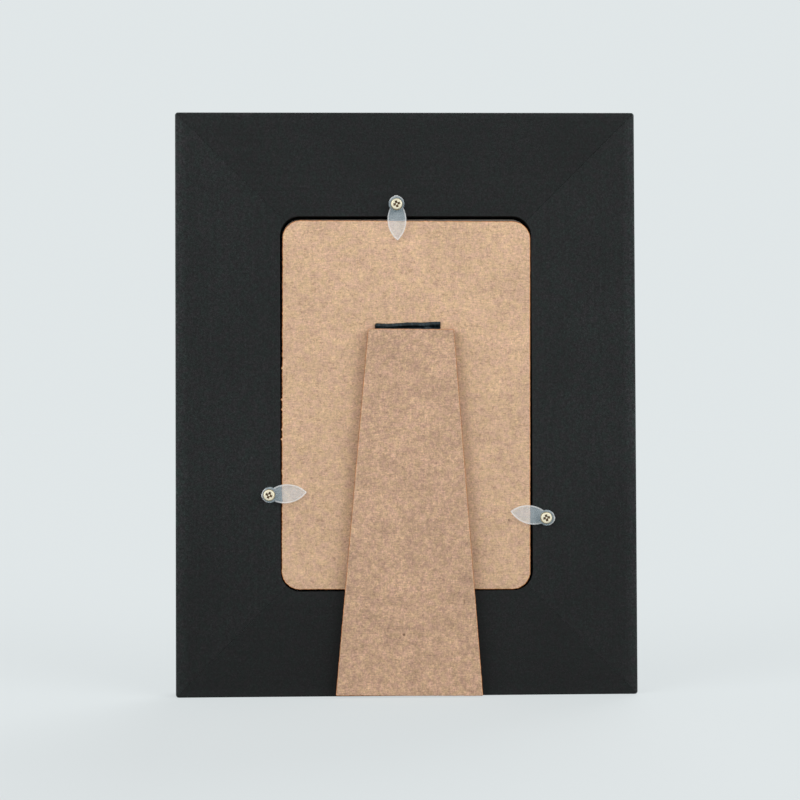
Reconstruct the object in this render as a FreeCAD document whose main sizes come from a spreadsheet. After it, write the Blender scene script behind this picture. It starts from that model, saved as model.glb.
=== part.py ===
import FreeCAD, Part
import math
import os

import Sketcher
from FreeCAD import Placement, Rotation, Vector

# Easel back photo frame for a 4 x 6 inch print, in millimetres.
# The frame stands upright: +Z is up, the front looks to -Y and the back to +Y.
# The origin is the middle of the bottom rail's lower face.
# Left and right are as seen from behind, so left is +X.

# Driving dimensions
SIZES = (
    ("print_width", 101.6, "width of the print that the frame holds"),
    ("print_height", 152.4, "height of the print that the frame holds"),
    ("pocket_play", 2.5, "how much larger than the print the pocket is, each way"),
    ("rail_back_width", 43.2, "rail from its outer edge to the pocket"),
    ("frame_thickness", 15.0, "rail from front to back"),
    ("sight_lip", 6.4, "how far the lip stands in past the pocket's wall"),
    ("sight_bevel", 2.0, "bevel round the front window"),
    ("pocket_corner_radius", 8.1, "round corners that the cutter leaves in the pocket"),
    ("frame_corner_radius", 1.2, "outer corners, sanded round"),
    ("arris_radius", 0.8, "outer front and back edges, sanded round"),
    ("cut_overrun", 1.0, "how far a cutting shape runs past what it cuts"),
    ("nail_sink", 1.0, "filler over a corner nail"),
    ("nail_height", 8.0, "depth of a corner nail in the wood"),
    ("nail_leg", 5.0, "length of each leg of a corner nail"),
    ("nail_thickness", 0.5, "steel strip of a corner nail"),
    ("nail_outer_inset", 14.0, "outer nail's bend from the outer edges"),
    ("nail_inner_inset", 30.0, "inner nail's bend from the outer edges"),
    ("glass_thickness", 2.0, "glass pane"),
    ("glass_gap", 0.7, "glass to pocket wall"),
    ("insert_thickness", 0.25, "paper insert sheet"),
    ("card_thickness", 3.0, "filler card"),
    ("card_gap", 1.0, "filler card to pocket wall"),
    ("board_thickness", 3.0, "backing board"),
    ("board_recess", 0.1, "backing board below the rails' back face"),
    ("board_side_gap", 0.65, "backing board to pocket wall, left and right"),
    ("board_bottom_gap", 0.6, "backing board to pocket wall, below"),
    ("board_top_gap", 1.8, "backing board to pocket wall, above"),
    ("board_turn", 0.3, "degrees that the backing board lies askew in the pocket"),
    ("slot_drop", 42.0, "slot's upper edge below the board's upper edge"),
    ("slot_width", 27.2, "slot for the hinge strap"),
    ("slot_height", 2.8, "slot for the hinge strap"),
    ("slot_shift", -0.5, "slot's middle off the frame's middle"),
    ("strap_side_gap", 0.35, "strap to slot end"),
    ("strap_slot_gap", 0.1, "strap to the slot's upper edge"),
    ("strap_thickness", 0.7, "hinge strap"),
    ("strap_inner_bend", 0.2, "inner radius of the strap's bends"),
    ("strap_tail_length", 24.0, "strap glued to the board's inner face"),
    ("strap_leg_length", 30.0, "strap glued to the leg"),
    ("dent_margin", 0.5, "dent in the filler card past the strap's edges"),
    ("leg_thickness", 3.0, "easel leg"),
    ("leg_top_width", 35.4, "easel leg at its upper edge"),
    ("leg_foot_width", 60.4, "easel leg at its foot"),
    ("leg_gap", 1.0, "folded leg off the backing board"),
    ("leg_drop", 0.3, "leg's upper edge below the slot"),
    ("leg_foot_gap", 0.75, "leg's foot above the frame's lower face"),
    ("leg_shift", -1.9, "leg's upper edge off the frame's middle"),
    ("leg_skew", 0.47, "degrees that the leg hangs askew"),
    ("leg_opening", 30.0, "degrees that the leg swings out"),
    ("stay_width", 8.0, "stay ribbon"),
    ("stay_thickness", 0.25, "stay ribbon"),
    ("stay_inner_bend", 0.1, "inner radius of the folded ribbon"),
    ("stay_tab", 8.0, "ribbon's glued ends"),
    ("stay_margin", 6.7, "ribbon's fold above the board's lower edge"),
    ("button_lift", 0.05, "turn button off the rail"),
    ("eye_radius", 3.25, "turn button's round eye"),
    ("eye_thickness", 1.7, "turn button's round eye"),
    ("eye_edge_radius", 0.4, "eye's upper edge"),
    ("eye_bore_radius", 1.85, "hole that the screw goes through, loose"),
    ("leaf_reach", 15.3, "leaf's point from the eye's centre"),
    ("leaf_heel", 1.8, "where the leaf's sides meet behind the eye's centre"),
    ("leaf_half_width", 3.9, "half of the leaf at its widest"),
    ("leaf_thickness", 1.2, "leaf over its rim"),
    ("leaf_point_radius", 0.5, "leaf's rounded point"),
    ("rim_width", 0.55, "raised rim round the leaf"),
    ("rim_height", 0.2, "raised rim over the leaf's web"),
    ("gate_width", 1.6, "moulding nub on the eye"),
    ("gate_length", 0.15, "moulding nub past the eye"),
    ("gate_thickness", 1.3, "moulding nub"),
    ("top_inset", 4.7, "upper screw from the pocket's wall"),
    ("top_shift", 3.8, "upper screw off the frame's middle"),
    ("top_turn", 1.4, "degrees that the upper button is turned"),
    ("top_slack", 0.45, "upper screw off its eye's centre, towards the point"),
    ("top_cross_turn", 15.0, "degrees that the upper screw's recess is turned"),
    ("left_inset", 4.6, "left screw from the pocket's wall"),
    ("left_height", 83.1, "left screw over the frame's lower face"),
    ("left_turn", 94.0, "degrees that the left button is turned"),
    ("left_slack", -0.15, "left screw off its eye's centre, towards the point"),
    ("left_cross_turn", -22.0, "degrees that the left screw's recess is turned"),
    ("right_inset", 5.35, "right screw from the pocket's wall"),
    ("right_height", 73.2, "right screw over the frame's lower face"),
    ("right_turn", -100.2, "degrees that the right button is turned"),
    ("right_slack", 0.4, "right screw off its eye's centre, towards the point"),
    ("right_cross_turn", 12.0, "degrees that the right screw's recess is turned"),
    ("head_radius", 2.45, "screw head"),
    ("head_height", 1.6, "screw head"),
    ("head_edge_radius", 0.7, "screw head's rounded edge"),
    ("head_gap", 0.05, "screw head over the button's eye"),
    ("recess_reach", 1.3, "cross recess from the screw's axis to its end"),
    ("recess_half_width", 0.28, "half of a cross recess's arm"),
    ("recess_depth", 1.0, "cross recess"),
    ("core_radius", 0.9, "screw's core under the thread"),
    ("thread_radius", 1.15, "screw over its thread"),
    ("thread_half_pitch", 0.4, "half of one thread ridge"),
    ("screw_length", 11.0, "screw below its head"),
    ("neck_length", 2.6, "screw's plain neck below its head"),
    ("point_length", 2.0, "screw's pointed end"),
)
THREAD_RINGS = 8
SAME_PLACE = 1e-4

doc = FreeCAD.newDocument("easel_back_photo_frame")
sheet = doc.addObject("Spreadsheet::Sheet", "Sizes")
for row, (alias, value, meaning) in enumerate(SIZES, 1):
    sheet.set(f"A{row}", alias)
    sheet.set(f"B{row}", str(value))
    sheet.set(f"C{row}", meaning)
    sheet.setAlias(f"B{row}", alias)
doc.recompute()


def cell(alias):
    """A driving dimension as an expression."""
    return f"Sizes.{alias}"


def size(alias):
    """A driving dimension as a number, where a sketch's first guess or an edge's place needs one."""
    return float(sheet.get(alias))


# Derived sizes and places, as expressions
POCKET_WIDTH = "(Sizes.print_width + Sizes.pocket_play)"
POCKET_HEIGHT = "(Sizes.print_height + Sizes.pocket_play)"
FRAME_WIDTH = f"({POCKET_WIDTH} + 2 * Sizes.rail_back_width)"
FRAME_HEIGHT = f"({POCKET_HEIGHT} + 2 * Sizes.rail_back_width)"
SIGHT_INSET = "(Sizes.rail_back_width + Sizes.sight_lip)"
FRONT = "(-Sizes.frame_thickness / 2)"
BACK = "(Sizes.frame_thickness / 2)"
BOARD_BACK = f"({BACK} - Sizes.board_recess)"
BOARD_FRONT = f"({BOARD_BACK} - Sizes.board_thickness)"
CARD_FRONT = f"({BOARD_FRONT} - Sizes.card_thickness)"
INSERT_FRONT = f"({CARD_FRONT} - Sizes.insert_thickness)"
GLASS_FRONT = f"({INSERT_FRONT} - Sizes.glass_thickness)"
LIP_THICKNESS = f"({GLASS_FRONT} - {FRONT})"
BOARD_BOTTOM = "(Sizes.rail_back_width + Sizes.board_bottom_gap)"
BOARD_TOP = f"({FRAME_HEIGHT} - Sizes.rail_back_width - Sizes.board_top_gap)"
BOARD_HEIGHT = f"({BOARD_TOP} - {BOARD_BOTTOM})"
SLOT_TOP = f"({BOARD_TOP} - Sizes.slot_drop)"
LEG_FRONT = f"({BOARD_BACK} + Sizes.leg_gap)"
LEG_TOP = f"({SLOT_TOP} - Sizes.slot_height - Sizes.leg_drop)"
STAY_REACH = f"({LEG_TOP} - {BOARD_BOTTOM} - Sizes.stay_margin)"
STAY_DROP = f"({STAY_REACH} / (1 + sin(Sizes.leg_opening / 2)))"
STRAP_WIDTH = "(Sizes.slot_width - 2 * Sizes.strap_side_gap)"
STRAP_OUTER_BEND = "(Sizes.strap_inner_bend + Sizes.strap_thickness)"
BUTTON_FRONT = f"({BACK} + Sizes.button_lift)"
HEAD_FRONT = f"({BUTTON_FRONT} + Sizes.eye_thickness + Sizes.head_gap)"

# Where each turn button's screw stands, across and up
SCREW_PLACES = {
    "top": (
        cell("top_shift"),
        f"({FRAME_HEIGHT} - Sizes.rail_back_width + Sizes.top_inset)",
    ),
    "left": (f"({POCKET_WIDTH} / 2 + Sizes.left_inset)", cell("left_height")),
    "right": (f"(-{POCKET_WIDTH} / 2 - Sizes.right_inset)", cell("right_height")),
}


# Helpers for bodies and sketches
def new_body(label):
    body = doc.addObject("PartDesign::Body", label)
    body.Label = label
    return body


def place(thing, across, back, up, turn=None):
    """Put a thing at three expressions, and turn it about the front to back axis by one more."""
    if turn:
        thing.Placement = Placement(Vector(0, 0, 0), Rotation(Vector(0, 1, 0), 1))
        thing.setExpression("Placement.Rotation.Angle", turn)
    thing.setExpression("Placement.Base.x", across)
    thing.setExpression("Placement.Base.y", back)
    thing.setExpression("Placement.Base.z", up)


def new_sketch(body, role, name, lift=None):
    """A sketch on one of the body's own planes, lifted along the plane's normal."""
    sketch = body.newObject("Sketcher::SketchObject", name)
    plane = next(item for item in body.Origin.OriginFeatures if item.Role == role)
    sketch.AttachmentSupport = [(plane, "")]
    sketch.MapMode = "FlatFace"
    if lift:
        sketch.setExpression("AttachmentOffset.Base.z", lift)
    return sketch


def bind(sketch, constraint, name, expression):
    index = sketch.addConstraint(constraint)
    sketch.renameConstraint(index, name)
    sketch.setExpression(f"Constraints.{name}", expression)


def pin(sketch, line, end, across, up):
    """Tie one end of a sketch line to expressions measured from the sketch's origin."""
    start = sketch.getPoint(line, end)
    if across == "0":
        sketch.addConstraint(Sketcher.Constraint("PointOnObject", line, end, -2))
    else:
        level = Sketcher.Constraint("DistanceX", -1, 1, line, end, start.x)
        bind(sketch, level, f"across_{line}_{end}", across)
    if up == "0":
        sketch.addConstraint(Sketcher.Constraint("PointOnObject", line, end, -1))
    else:
        upright = Sketcher.Constraint("DistanceY", -1, 1, line, end, start.y)
        bind(sketch, upright, f"up_{line}_{end}", up)


def draw_polygon(sketch, corners):
    """A closed outline of straight lines through corners given as pairs of expressions."""
    count = len(corners)
    step = 2 * math.pi / count
    starts = [Vector(math.cos(step * i), math.sin(step * i), 0) for i in range(count)]
    for i in range(count):
        sketch.addGeometry(Part.LineSegment(starts[i], starts[(i + 1) % count]), False)
    for i in range(count):
        sketch.addConstraint(Sketcher.Constraint("Coincident", i, 2, (i + 1) % count, 1))
    for i, (across, up) in enumerate(corners):
        pin(sketch, i, 1, across, up)


def draw_rectangle(sketch, width, low, high, middle="0"):
    """A rectangle of a given width about an upright middle line."""
    left = f"({middle} - {width} / 2)"
    right = f"({middle} + {width} / 2)"
    draw_polygon(sketch, ((left, low), (right, low), (right, high), (left, high)))


def draw_circle(sketch, alias):
    guess = size(alias)
    sketch.addGeometry(Part.Circle(Vector(0, 0, 0), Vector(0, 0, 1), guess), False)
    sketch.addConstraint(Sketcher.Constraint("Coincident", 0, 3, -1, 1))
    bind(sketch, Sketcher.Constraint("Radius", 0, guess), "radius", cell(alias))


# Helpers for features and their edges
def pad(body, sketch, name, length, reverse=True):
    feature = body.newObject("PartDesign::Pad", name)
    feature.Profile = sketch
    feature.Reversed = reverse
    feature.setExpression("Length", length)
    doc.recompute()
    return feature


def pocket(body, sketch, name, length, reverse=False):
    """Cut a sketch into the body, and check that this takes something away."""
    before = body.Shape.Volume
    feature = body.newObject("PartDesign::Pocket", name)
    feature.Profile = sketch
    feature.Reversed = reverse
    feature.setExpression("Length", length)
    doc.recompute()
    removed = before - body.Shape.Volume
    print(f"{name} takes {removed:.2f} mm3")
    if removed <= 0:
        raise ValueError(f"{name} cuts nothing")
    return feature


def revolve(body, sketch, name):
    feature = body.newObject("PartDesign::Revolution", name)
    feature.Profile = sketch
    feature.ReferenceAxis = (sketch, ["V_Axis"])
    feature.Angle = 360
    doc.recompute()
    return feature


def soften(body, kind, name, base, edges, amount):
    """A fillet or a chamfer on named edges of a feature."""
    feature = body.newObject(f"PartDesign::{kind}", name)
    feature.Base = (base, edges)
    feature.setExpression("Radius" if kind == "Fillet" else "Size", amount)
    doc.recompute()
    return feature


def same(first, second):
    """Whether two places are one, but for rounding."""
    return math.isclose(first, second, abs_tol=SAME_PLACE)


def edges_where(feature, test):
    """Names of a feature's edges that pass a test."""
    edges = enumerate(feature.Shape.Edges, 1)
    return [f"Edge{index}" for index, edge in edges if test(edge)]


def runs_back(edge):
    """Whether an edge runs straight from front to back."""
    ends = [vertex.Point for vertex in edge.Vertexes]
    return len(ends) == 2 and same(ends[0].x, ends[1].x) and same(ends[0].z, ends[1].z)


def is_level(edge, back):
    """Whether a whole edge lies at one distance from the front."""
    points = [vertex.Point for vertex in edge.Vertexes] + [edge.CenterOfMass]
    return all(same(point.y, back) for point in points)


def runs_across(edge, back, up):
    """Whether an edge runs from left to right at one place."""
    points = [vertex.Point for vertex in edge.Vertexes]
    return all(same(point.y, back) and same(point.z, up) for point in points)


# Frame blank: the wood of the four rails as one ring, rounded, windowed and routed for the pocket
def make_blank():
    body = new_body("frame_blank")
    place(body, "0", FRONT, "0")
    outline = new_sketch(body, "XZ_Plane", "blank_outline")
    draw_rectangle(outline, FRAME_WIDTH, "0", FRAME_HEIGHT)
    block = pad(body, outline, "blank_block", cell("frame_thickness"))
    corners = edges_where(block, runs_back)
    block = soften(body, "Fillet", "blank_corners", block, corners, cell("frame_corner_radius"))
    thickness = size("frame_thickness")
    arrises = edges_where(block, lambda edge: is_level(edge, 0) or is_level(edge, thickness))
    soften(body, "Fillet", "blank_arrises", block, arrises, cell("arris_radius"))

    through = f"{cell('frame_thickness')} + {cell('cut_overrun')}"
    window = new_sketch(body, "XZ_Plane", "window_outline")
    window_width = f"({FRAME_WIDTH} - 2 * {SIGHT_INSET})"
    draw_rectangle(window, window_width, SIGHT_INSET, f"({FRAME_HEIGHT} - {SIGHT_INSET})")
    pocket(body, window, "front_window", through)
    seat = new_sketch(body, "XZ_Plane", "pocket_outline", f"-{LIP_THICKNESS}")
    rail = cell("rail_back_width")
    draw_rectangle(seat, POCKET_WIDTH, rail, f"({FRAME_HEIGHT} - {rail})")
    routed = pocket(body, seat, "sheet_pocket", through)

    rail_width = size("rail_back_width")
    half_pocket = (size("print_width") + size("pocket_play")) / 2
    inner_top = size("print_height") + size("pocket_play") + rail_width

    def is_pocket_corner(edge):
        return runs_back(edge) and same(abs(edge.CenterOfMass.x), half_pocket)

    corners = edges_where(routed, is_pocket_corner)
    routed = soften(body, "Fillet", "pocket_corners", routed, corners, cell("pocket_corner_radius"))

    def rounds_window(edge):
        middle = edge.CenterOfMass
        inside = abs(middle.x) < half_pocket and rail_width < middle.z < inner_top
        return inside and is_level(edge, 0)

    rim = edges_where(routed, rounds_window)
    soften(body, "Chamfer", "window_bevel", routed, rim, cell("sight_bevel"))
    return body


# Corner nails: two bent steel strips across each mitre, sunk and filled over
def make_nail_leg(name, inset, along):
    """One leg, from the bend at the mitre towards an outer edge, for the lower left corner."""
    leg = doc.addObject("Part::Box", name)
    half = "Sizes.nail_thickness / 2"
    long_side = f"Sizes.nail_leg + {half}"
    leg.setExpression("Length", long_side if along == "across" else cell("nail_thickness"))
    leg.setExpression("Height", long_side if along == "up" else cell("nail_thickness"))
    leg.setExpression("Width", cell("nail_height"))
    start = f"{inset} - {half}" if along == "across" else f"{inset} - Sizes.nail_leg"
    place(leg, f"-{inset} - {half}", "0", start)
    return leg


def make_corner_nails(corner, across, up, turn):
    label = f"corner_nails_{corner}"
    legs = []
    for which in ("outer", "inner"):
        inset = cell(f"nail_{which}_inset")
        for along in ("across", "up"):
            legs.append(make_nail_leg(f"{label}_{which}_{along}", inset, along))
    nails = doc.addObject("Part::MultiFuse", label)
    nails.Label = label
    nails.Shapes = legs
    place(nails, across, f"{BACK} - Sizes.nail_sink - Sizes.nail_height", up, turn)
    return nails


# Turn button: a moulded leaf with a raised rim, a round eye and the nub of its moulding gate
def draw_leaf(sketch, inset):
    """A pointed oval, drawn in from the leaf's outline by an inset; its sides are two arcs."""
    span = "(Sizes.leaf_reach + Sizes.leaf_heel) / 2"
    radius = f"(({span})^2 + Sizes.leaf_half_width^2) / (2 * Sizes.leaf_half_width)"
    middle = "(Sizes.leaf_heel - Sizes.leaf_reach) / 2"
    side = f"({radius} - {inset})"
    half = f"sqrt({side}^2 - ({radius} - Sizes.leaf_half_width)^2)"

    span_guess = (size("leaf_reach") + size("leaf_heel")) / 2
    width_guess = size("leaf_half_width")
    radius_guess = (span_guess ** 2 + width_guess ** 2) / (2 * width_guess)
    middle_guess = (size("leaf_heel") - size("leaf_reach")) / 2
    swing = math.atan2(span_guess, radius_guess - width_guess)
    normal = Vector(0, 0, 1)
    for facing in (1, -1):
        centre = Vector(facing * (width_guess - radius_guess), middle_guess, 0)
        turn = 0 if facing == 1 else math.pi
        circle = Part.Circle(centre, normal, radius_guess)
        sketch.addGeometry(Part.ArcOfCircle(circle, turn - swing, turn + swing), False)
    sketch.addConstraint(Sketcher.Constraint("Coincident", 0, 2, 1, 1))
    sketch.addConstraint(Sketcher.Constraint("Coincident", 1, 2, 0, 1))
    pin(sketch, 0, 1, "0", f"{middle} - {half}")
    pin(sketch, 0, 2, "0", f"{middle} + {half}")
    for side_arc in (0, 1):
        constraint = Sketcher.Constraint("Radius", side_arc, radius_guess)
        bind(sketch, constraint, f"side_radius_{side_arc}", side)


def make_turn_button(side):
    label = f"turn_button_{side}"
    body = new_body(label)
    across, up = SCREW_PLACES[side]
    turn = cell(f"{side}_turn")
    slack = cell(f"{side}_slack")
    across = f"{across} + {slack} * sin({turn})"
    up = f"{up} + {slack} * cos({turn})"
    place(body, across, BUTTON_FRONT, up, turn)

    leaf_outline = new_sketch(body, "XZ_Plane", f"{label}_leaf_outline")
    draw_leaf(leaf_outline, "0")
    leaf = pad(body, leaf_outline, f"{label}_leaf", cell("leaf_thickness"))
    reach = size("leaf_reach")
    point = edges_where(leaf, lambda edge: runs_back(edge) and same(edge.CenterOfMass.z, -reach))
    soften(body, "Fillet", f"{label}_point", leaf, point, cell("leaf_point_radius"))
    web_outline = new_sketch(body, "XZ_Plane", f"{label}_web_outline", "-Sizes.leaf_thickness")
    draw_leaf(web_outline, cell("rim_width"))
    pocket(body, web_outline, f"{label}_web", cell("rim_height"), True)

    eye_outline = new_sketch(body, "XZ_Plane", f"{label}_eye_outline")
    draw_circle(eye_outline, "eye_radius")
    eye = pad(body, eye_outline, f"{label}_eye", cell("eye_thickness"))
    thickness = size("eye_thickness")
    brow = edges_where(eye, lambda edge: is_level(edge, thickness))
    soften(body, "Fillet", f"{label}_brow", eye, brow, cell("eye_edge_radius"))
    gate_outline = new_sketch(body, "XZ_Plane", f"{label}_gate_outline")
    gate_end = "(Sizes.eye_radius + Sizes.gate_length)"
    draw_rectangle(gate_outline, cell("gate_width"), cell("eye_bore_radius"), gate_end)
    pad(body, gate_outline, f"{label}_gate", cell("gate_thickness"))
    bore_outline = new_sketch(body, "XZ_Plane", f"{label}_bore_outline")
    draw_circle(bore_outline, "eye_bore_radius")
    pocket(body, bore_outline, f"{label}_bore", "Sizes.eye_thickness + Sizes.cut_overrun")
    return body


# Pan head screw with a cross recess; the thread is drawn as rings at its real pitch
def make_button_screw(side):
    label = f"button_screw_{side}"
    body = new_body(label)
    across, up = SCREW_PLACES[side]
    place(body, across, HEAD_FRONT, up, cell(f"{side}_cross_turn"))

    blank_profile = new_sketch(body, "XY_Plane", f"{label}_profile")
    neck_end = "(-Sizes.neck_length)"
    point_start = "(Sizes.point_length - Sizes.screw_length)"
    draw_polygon(blank_profile, (
        ("0", "(-Sizes.screw_length)"),
        (cell("core_radius"), point_start),
        (cell("core_radius"), neck_end),
        (cell("thread_radius"), neck_end),
        (cell("thread_radius"), "0"),
        (cell("head_radius"), "0"),
        (cell("head_radius"), cell("head_height")),
        ("0", cell("head_height")),
    ))
    turned = revolve(body, blank_profile, f"{label}_turned")
    head_height = size("head_height")
    crown = edges_where(turned, lambda edge: is_level(edge, head_height))
    soften(body, "Fillet", f"{label}_crown", turned, crown, cell("head_edge_radius"))

    ridge_profile = new_sketch(body, "XY_Plane", f"{label}_ridge_profile")
    low = point_start
    middle = f"({point_start} + Sizes.thread_half_pitch)"
    high = f"({point_start} + 2 * Sizes.thread_half_pitch)"
    draw_polygon(ridge_profile, (
        ("0", low),
        (cell("core_radius"), low),
        (cell("thread_radius"), middle),
        (cell("core_radius"), high),
        ("0", high),
    ))
    ridge = revolve(body, ridge_profile, f"{label}_ridge")
    thread = body.newObject("PartDesign::LinearPattern", f"{label}_thread")
    thread.Originals = [ridge]
    thread.Direction = (ridge_profile, ["V_Axis"])
    thread.setExpression("Length", f"{neck_end} - {high}")
    thread.Occurrences = THREAD_RINGS
    body.Tip = thread
    doc.recompute()

    cross = new_sketch(body, "XZ_Plane", f"{label}_cross", "-Sizes.head_height")
    reach = cell("recess_reach")
    half = cell("recess_half_width")
    draw_polygon(cross, (
        (half, reach), (half, half), (reach, half), (reach, f"(-{half})"),
        (half, f"(-{half})"), (half, f"(-{reach})"), (f"(-{half})", f"(-{reach})"),
        (f"(-{half})", f"(-{half})"), (f"(-{reach})", f"(-{half})"), (f"(-{reach})", half),
        (f"(-{half})", half), (f"(-{half})", reach),
    ))
    pocket(body, cross, f"{label}_recess", cell("recess_depth"), True)
    return body


# Rails: the blank, bored by its screws and nails and parted at the mitres
def make_mitre_wedge(side, across, up, turn, length):
    """The room that one rail has between its two mitres."""
    wedge = doc.addObject("Part::Wedge", f"mitre_wedge_{side}")
    depth = f"({SIGHT_INSET} + Sizes.cut_overrun)"
    half = f"({length} / 2)"
    back = f"{BACK} + Sizes.cut_overrun"
    bounds = {
        "Ymin": "-Sizes.cut_overrun", "Ymax": depth,
        "Xmin": f"-{half} - Sizes.cut_overrun", "Xmax": f"{half} + Sizes.cut_overrun",
        "X2min": f"{depth} - {half}", "X2max": f"{half} - {depth}",
        "Zmin": f"-({back})", "Zmax": back, "Z2min": f"-({back})", "Z2max": back,
    }
    for name, expression in bounds.items():
        wedge.setExpression(name, expression)
    tilt = Rotation(Vector(0, 1, 0), turn) * Rotation(Vector(1, 0, 0), 90)
    wedge.Placement = Placement(Vector(0, 0, 0), tilt)
    wedge.setExpression("Placement.Base.x", across)
    wedge.setExpression("Placement.Base.z", up)
    return wedge


def make_rail(side, wood, across, up, turn, length):
    rail = doc.addObject("Part::Common", f"rail_{side}")
    rail.Label = f"rail_{side}"
    rail.Base = wood
    rail.Tool = make_mitre_wedge(side, across, up, turn, length)
    return rail


# Sheets that lie in the pocket: glass, insert, filler card and backing board
def make_sheet(label, sheet_size, thickness, front, bottom, corner):
    body = new_body(label)
    place(body, "0", front, bottom)
    outline = new_sketch(body, "XZ_Plane", f"{label}_outline")
    width, height = sheet_size
    draw_rectangle(outline, width, "0", height)
    blank_sheet = pad(body, outline, f"{label}_blank", thickness)
    corners = edges_where(blank_sheet, runs_back)
    soften(body, "Fillet", f"{label}_corners", blank_sheet, corners, corner)
    return body


def make_pocket_sheet(label, gap, thickness, front):
    """A sheet with the same gap to the pocket's wall all round."""
    sheet_size = (f"({POCKET_WIDTH} - 2 * {gap})", f"({POCKET_HEIGHT} - 2 * {gap})")
    bottom = f"(Sizes.rail_back_width + {gap})"
    corner = f"(Sizes.pocket_corner_radius - {gap})"
    return make_sheet(label, sheet_size, thickness, front, bottom, corner)


def make_filler_card():
    """The card is dented where the strap's tail is pressed into it."""
    card = make_pocket_sheet("filler_card", cell("card_gap"), cell("card_thickness"), CARD_FRONT)
    dent = new_sketch(card, "XZ_Plane", "card_dent_outline", "-Sizes.card_thickness")
    slot_top = f"({SLOT_TOP} - Sizes.rail_back_width - Sizes.card_gap)"
    low = f"{slot_top} - Sizes.strap_slot_gap - Sizes.strap_thickness - Sizes.dent_margin"
    high = f"{slot_top} + Sizes.strap_tail_length + Sizes.dent_margin"
    width = f"({STRAP_WIDTH} + 2 * Sizes.dent_margin)"
    draw_rectangle(dent, width, low, high, cell("slot_shift"))
    pocket(card, dent, "card_dent", cell("strap_thickness"), True)
    return card


def turned_place(across, up):
    """Where a point over the board's lower middle lies once the board is turned about its middle."""
    turn = "Sizes.board_turn"
    off = f"({up} - {BOARD_HEIGHT} / 2)"
    turned_across = f"({across} * cos({turn}) - {off} * sin({turn}))"
    turned_off = f"({across} * sin({turn}) + {off} * cos({turn}))"
    return turned_across, f"({BOARD_BOTTOM} + {BOARD_HEIGHT} / 2 + {turned_off})"


def make_backing_board():
    board_size = (f"({POCKET_WIDTH} - 2 * Sizes.board_side_gap)", BOARD_HEIGHT)
    corner = "(Sizes.pocket_corner_radius - Sizes.board_bottom_gap)"
    thickness = cell("board_thickness")
    board = make_sheet("backing_board", board_size, thickness, BOARD_FRONT, BOARD_BOTTOM, corner)
    slot = new_sketch(board, "XZ_Plane", "board_slot_outline")
    slot_top = f"({SLOT_TOP} - {BOARD_BOTTOM})"
    slot_low = f"({slot_top} - Sizes.slot_height)"
    draw_rectangle(slot, cell("slot_width"), slot_low, slot_top, cell("slot_shift"))
    pocket(board, slot, "board_slot", "Sizes.board_thickness + Sizes.cut_overrun")
    across, up = turned_place("0", "0")
    place(board, across, BOARD_FRONT, up, "-Sizes.board_turn")
    return board


# Easel leg: a tapered board that hangs a little askew on its strap
def make_easel_leg():
    body = new_body("easel_leg")
    place(body, cell("leg_shift"), LEG_FRONT, LEG_TOP, "-Sizes.leg_skew")
    outline = new_sketch(body, "XZ_Plane", "leg_outline")
    foot = f"(Sizes.leg_foot_gap - {LEG_TOP})"
    draw_polygon(outline, (
        ("(-Sizes.leg_top_width / 2)", "0"),
        ("(-Sizes.leg_foot_width / 2)", foot),
        ("(Sizes.leg_foot_width / 2)", foot),
        ("(Sizes.leg_top_width / 2)", "0"),
    ))
    pad(body, outline, "leg_board", cell("leg_thickness"))
    return body


# Hinge strap: glued inside the board, out through the slot and down the leg's inner face.
# It lies askew with the board.
def make_hinge_strap():
    body = new_body("hinge_strap")
    height = f"({SLOT_TOP} - Sizes.strap_slot_gap - {BOARD_BOTTOM})"
    across, up = turned_place(cell("slot_shift"), height)
    place(body, across, BOARD_BACK, up, "-Sizes.board_turn")
    profile = new_sketch(body, "YZ_Plane", "strap_profile", f"-{STRAP_WIDTH} / 2")
    inner_face = "(-Sizes.board_thickness)"
    tail_face = "(-Sizes.board_thickness - Sizes.strap_thickness)"
    tail_end = "(Sizes.strap_tail_length + Sizes.strap_slot_gap)"
    leg_face = cell("leg_gap")
    board_face = "(Sizes.leg_gap - Sizes.strap_thickness)"
    leg_end = "(Sizes.strap_slot_gap - Sizes.slot_height - Sizes.leg_drop - Sizes.strap_leg_length)"
    under = "(-Sizes.strap_thickness)"
    draw_polygon(profile, (
        (tail_face, tail_end), (inner_face, tail_end), (inner_face, "0"), (leg_face, "0"),
        (leg_face, leg_end), (board_face, leg_end), (board_face, under), (tail_face, under),
    ))
    strip = pad(body, profile, "strap_strip", STRAP_WIDTH, False)
    board = size("board_thickness")
    strap = size("strap_thickness")
    gap = size("leg_gap")
    inner = edges_where(strip, lambda edge: runs_across(edge, -board, 0))
    inner += edges_where(strip, lambda edge: runs_across(edge, gap - strap, -strap))
    strip = soften(body, "Fillet", "strap_inner_bends", strip, inner, cell("strap_inner_bend"))
    outer = edges_where(strip, lambda edge: runs_across(edge, gap, 0))
    outer += edges_where(strip, lambda edge: runs_across(edge, -board - strap, -strap))
    soften(body, "Fillet", "strap_outer_bends", strip, outer, STRAP_OUTER_BEND)
    return body


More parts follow.
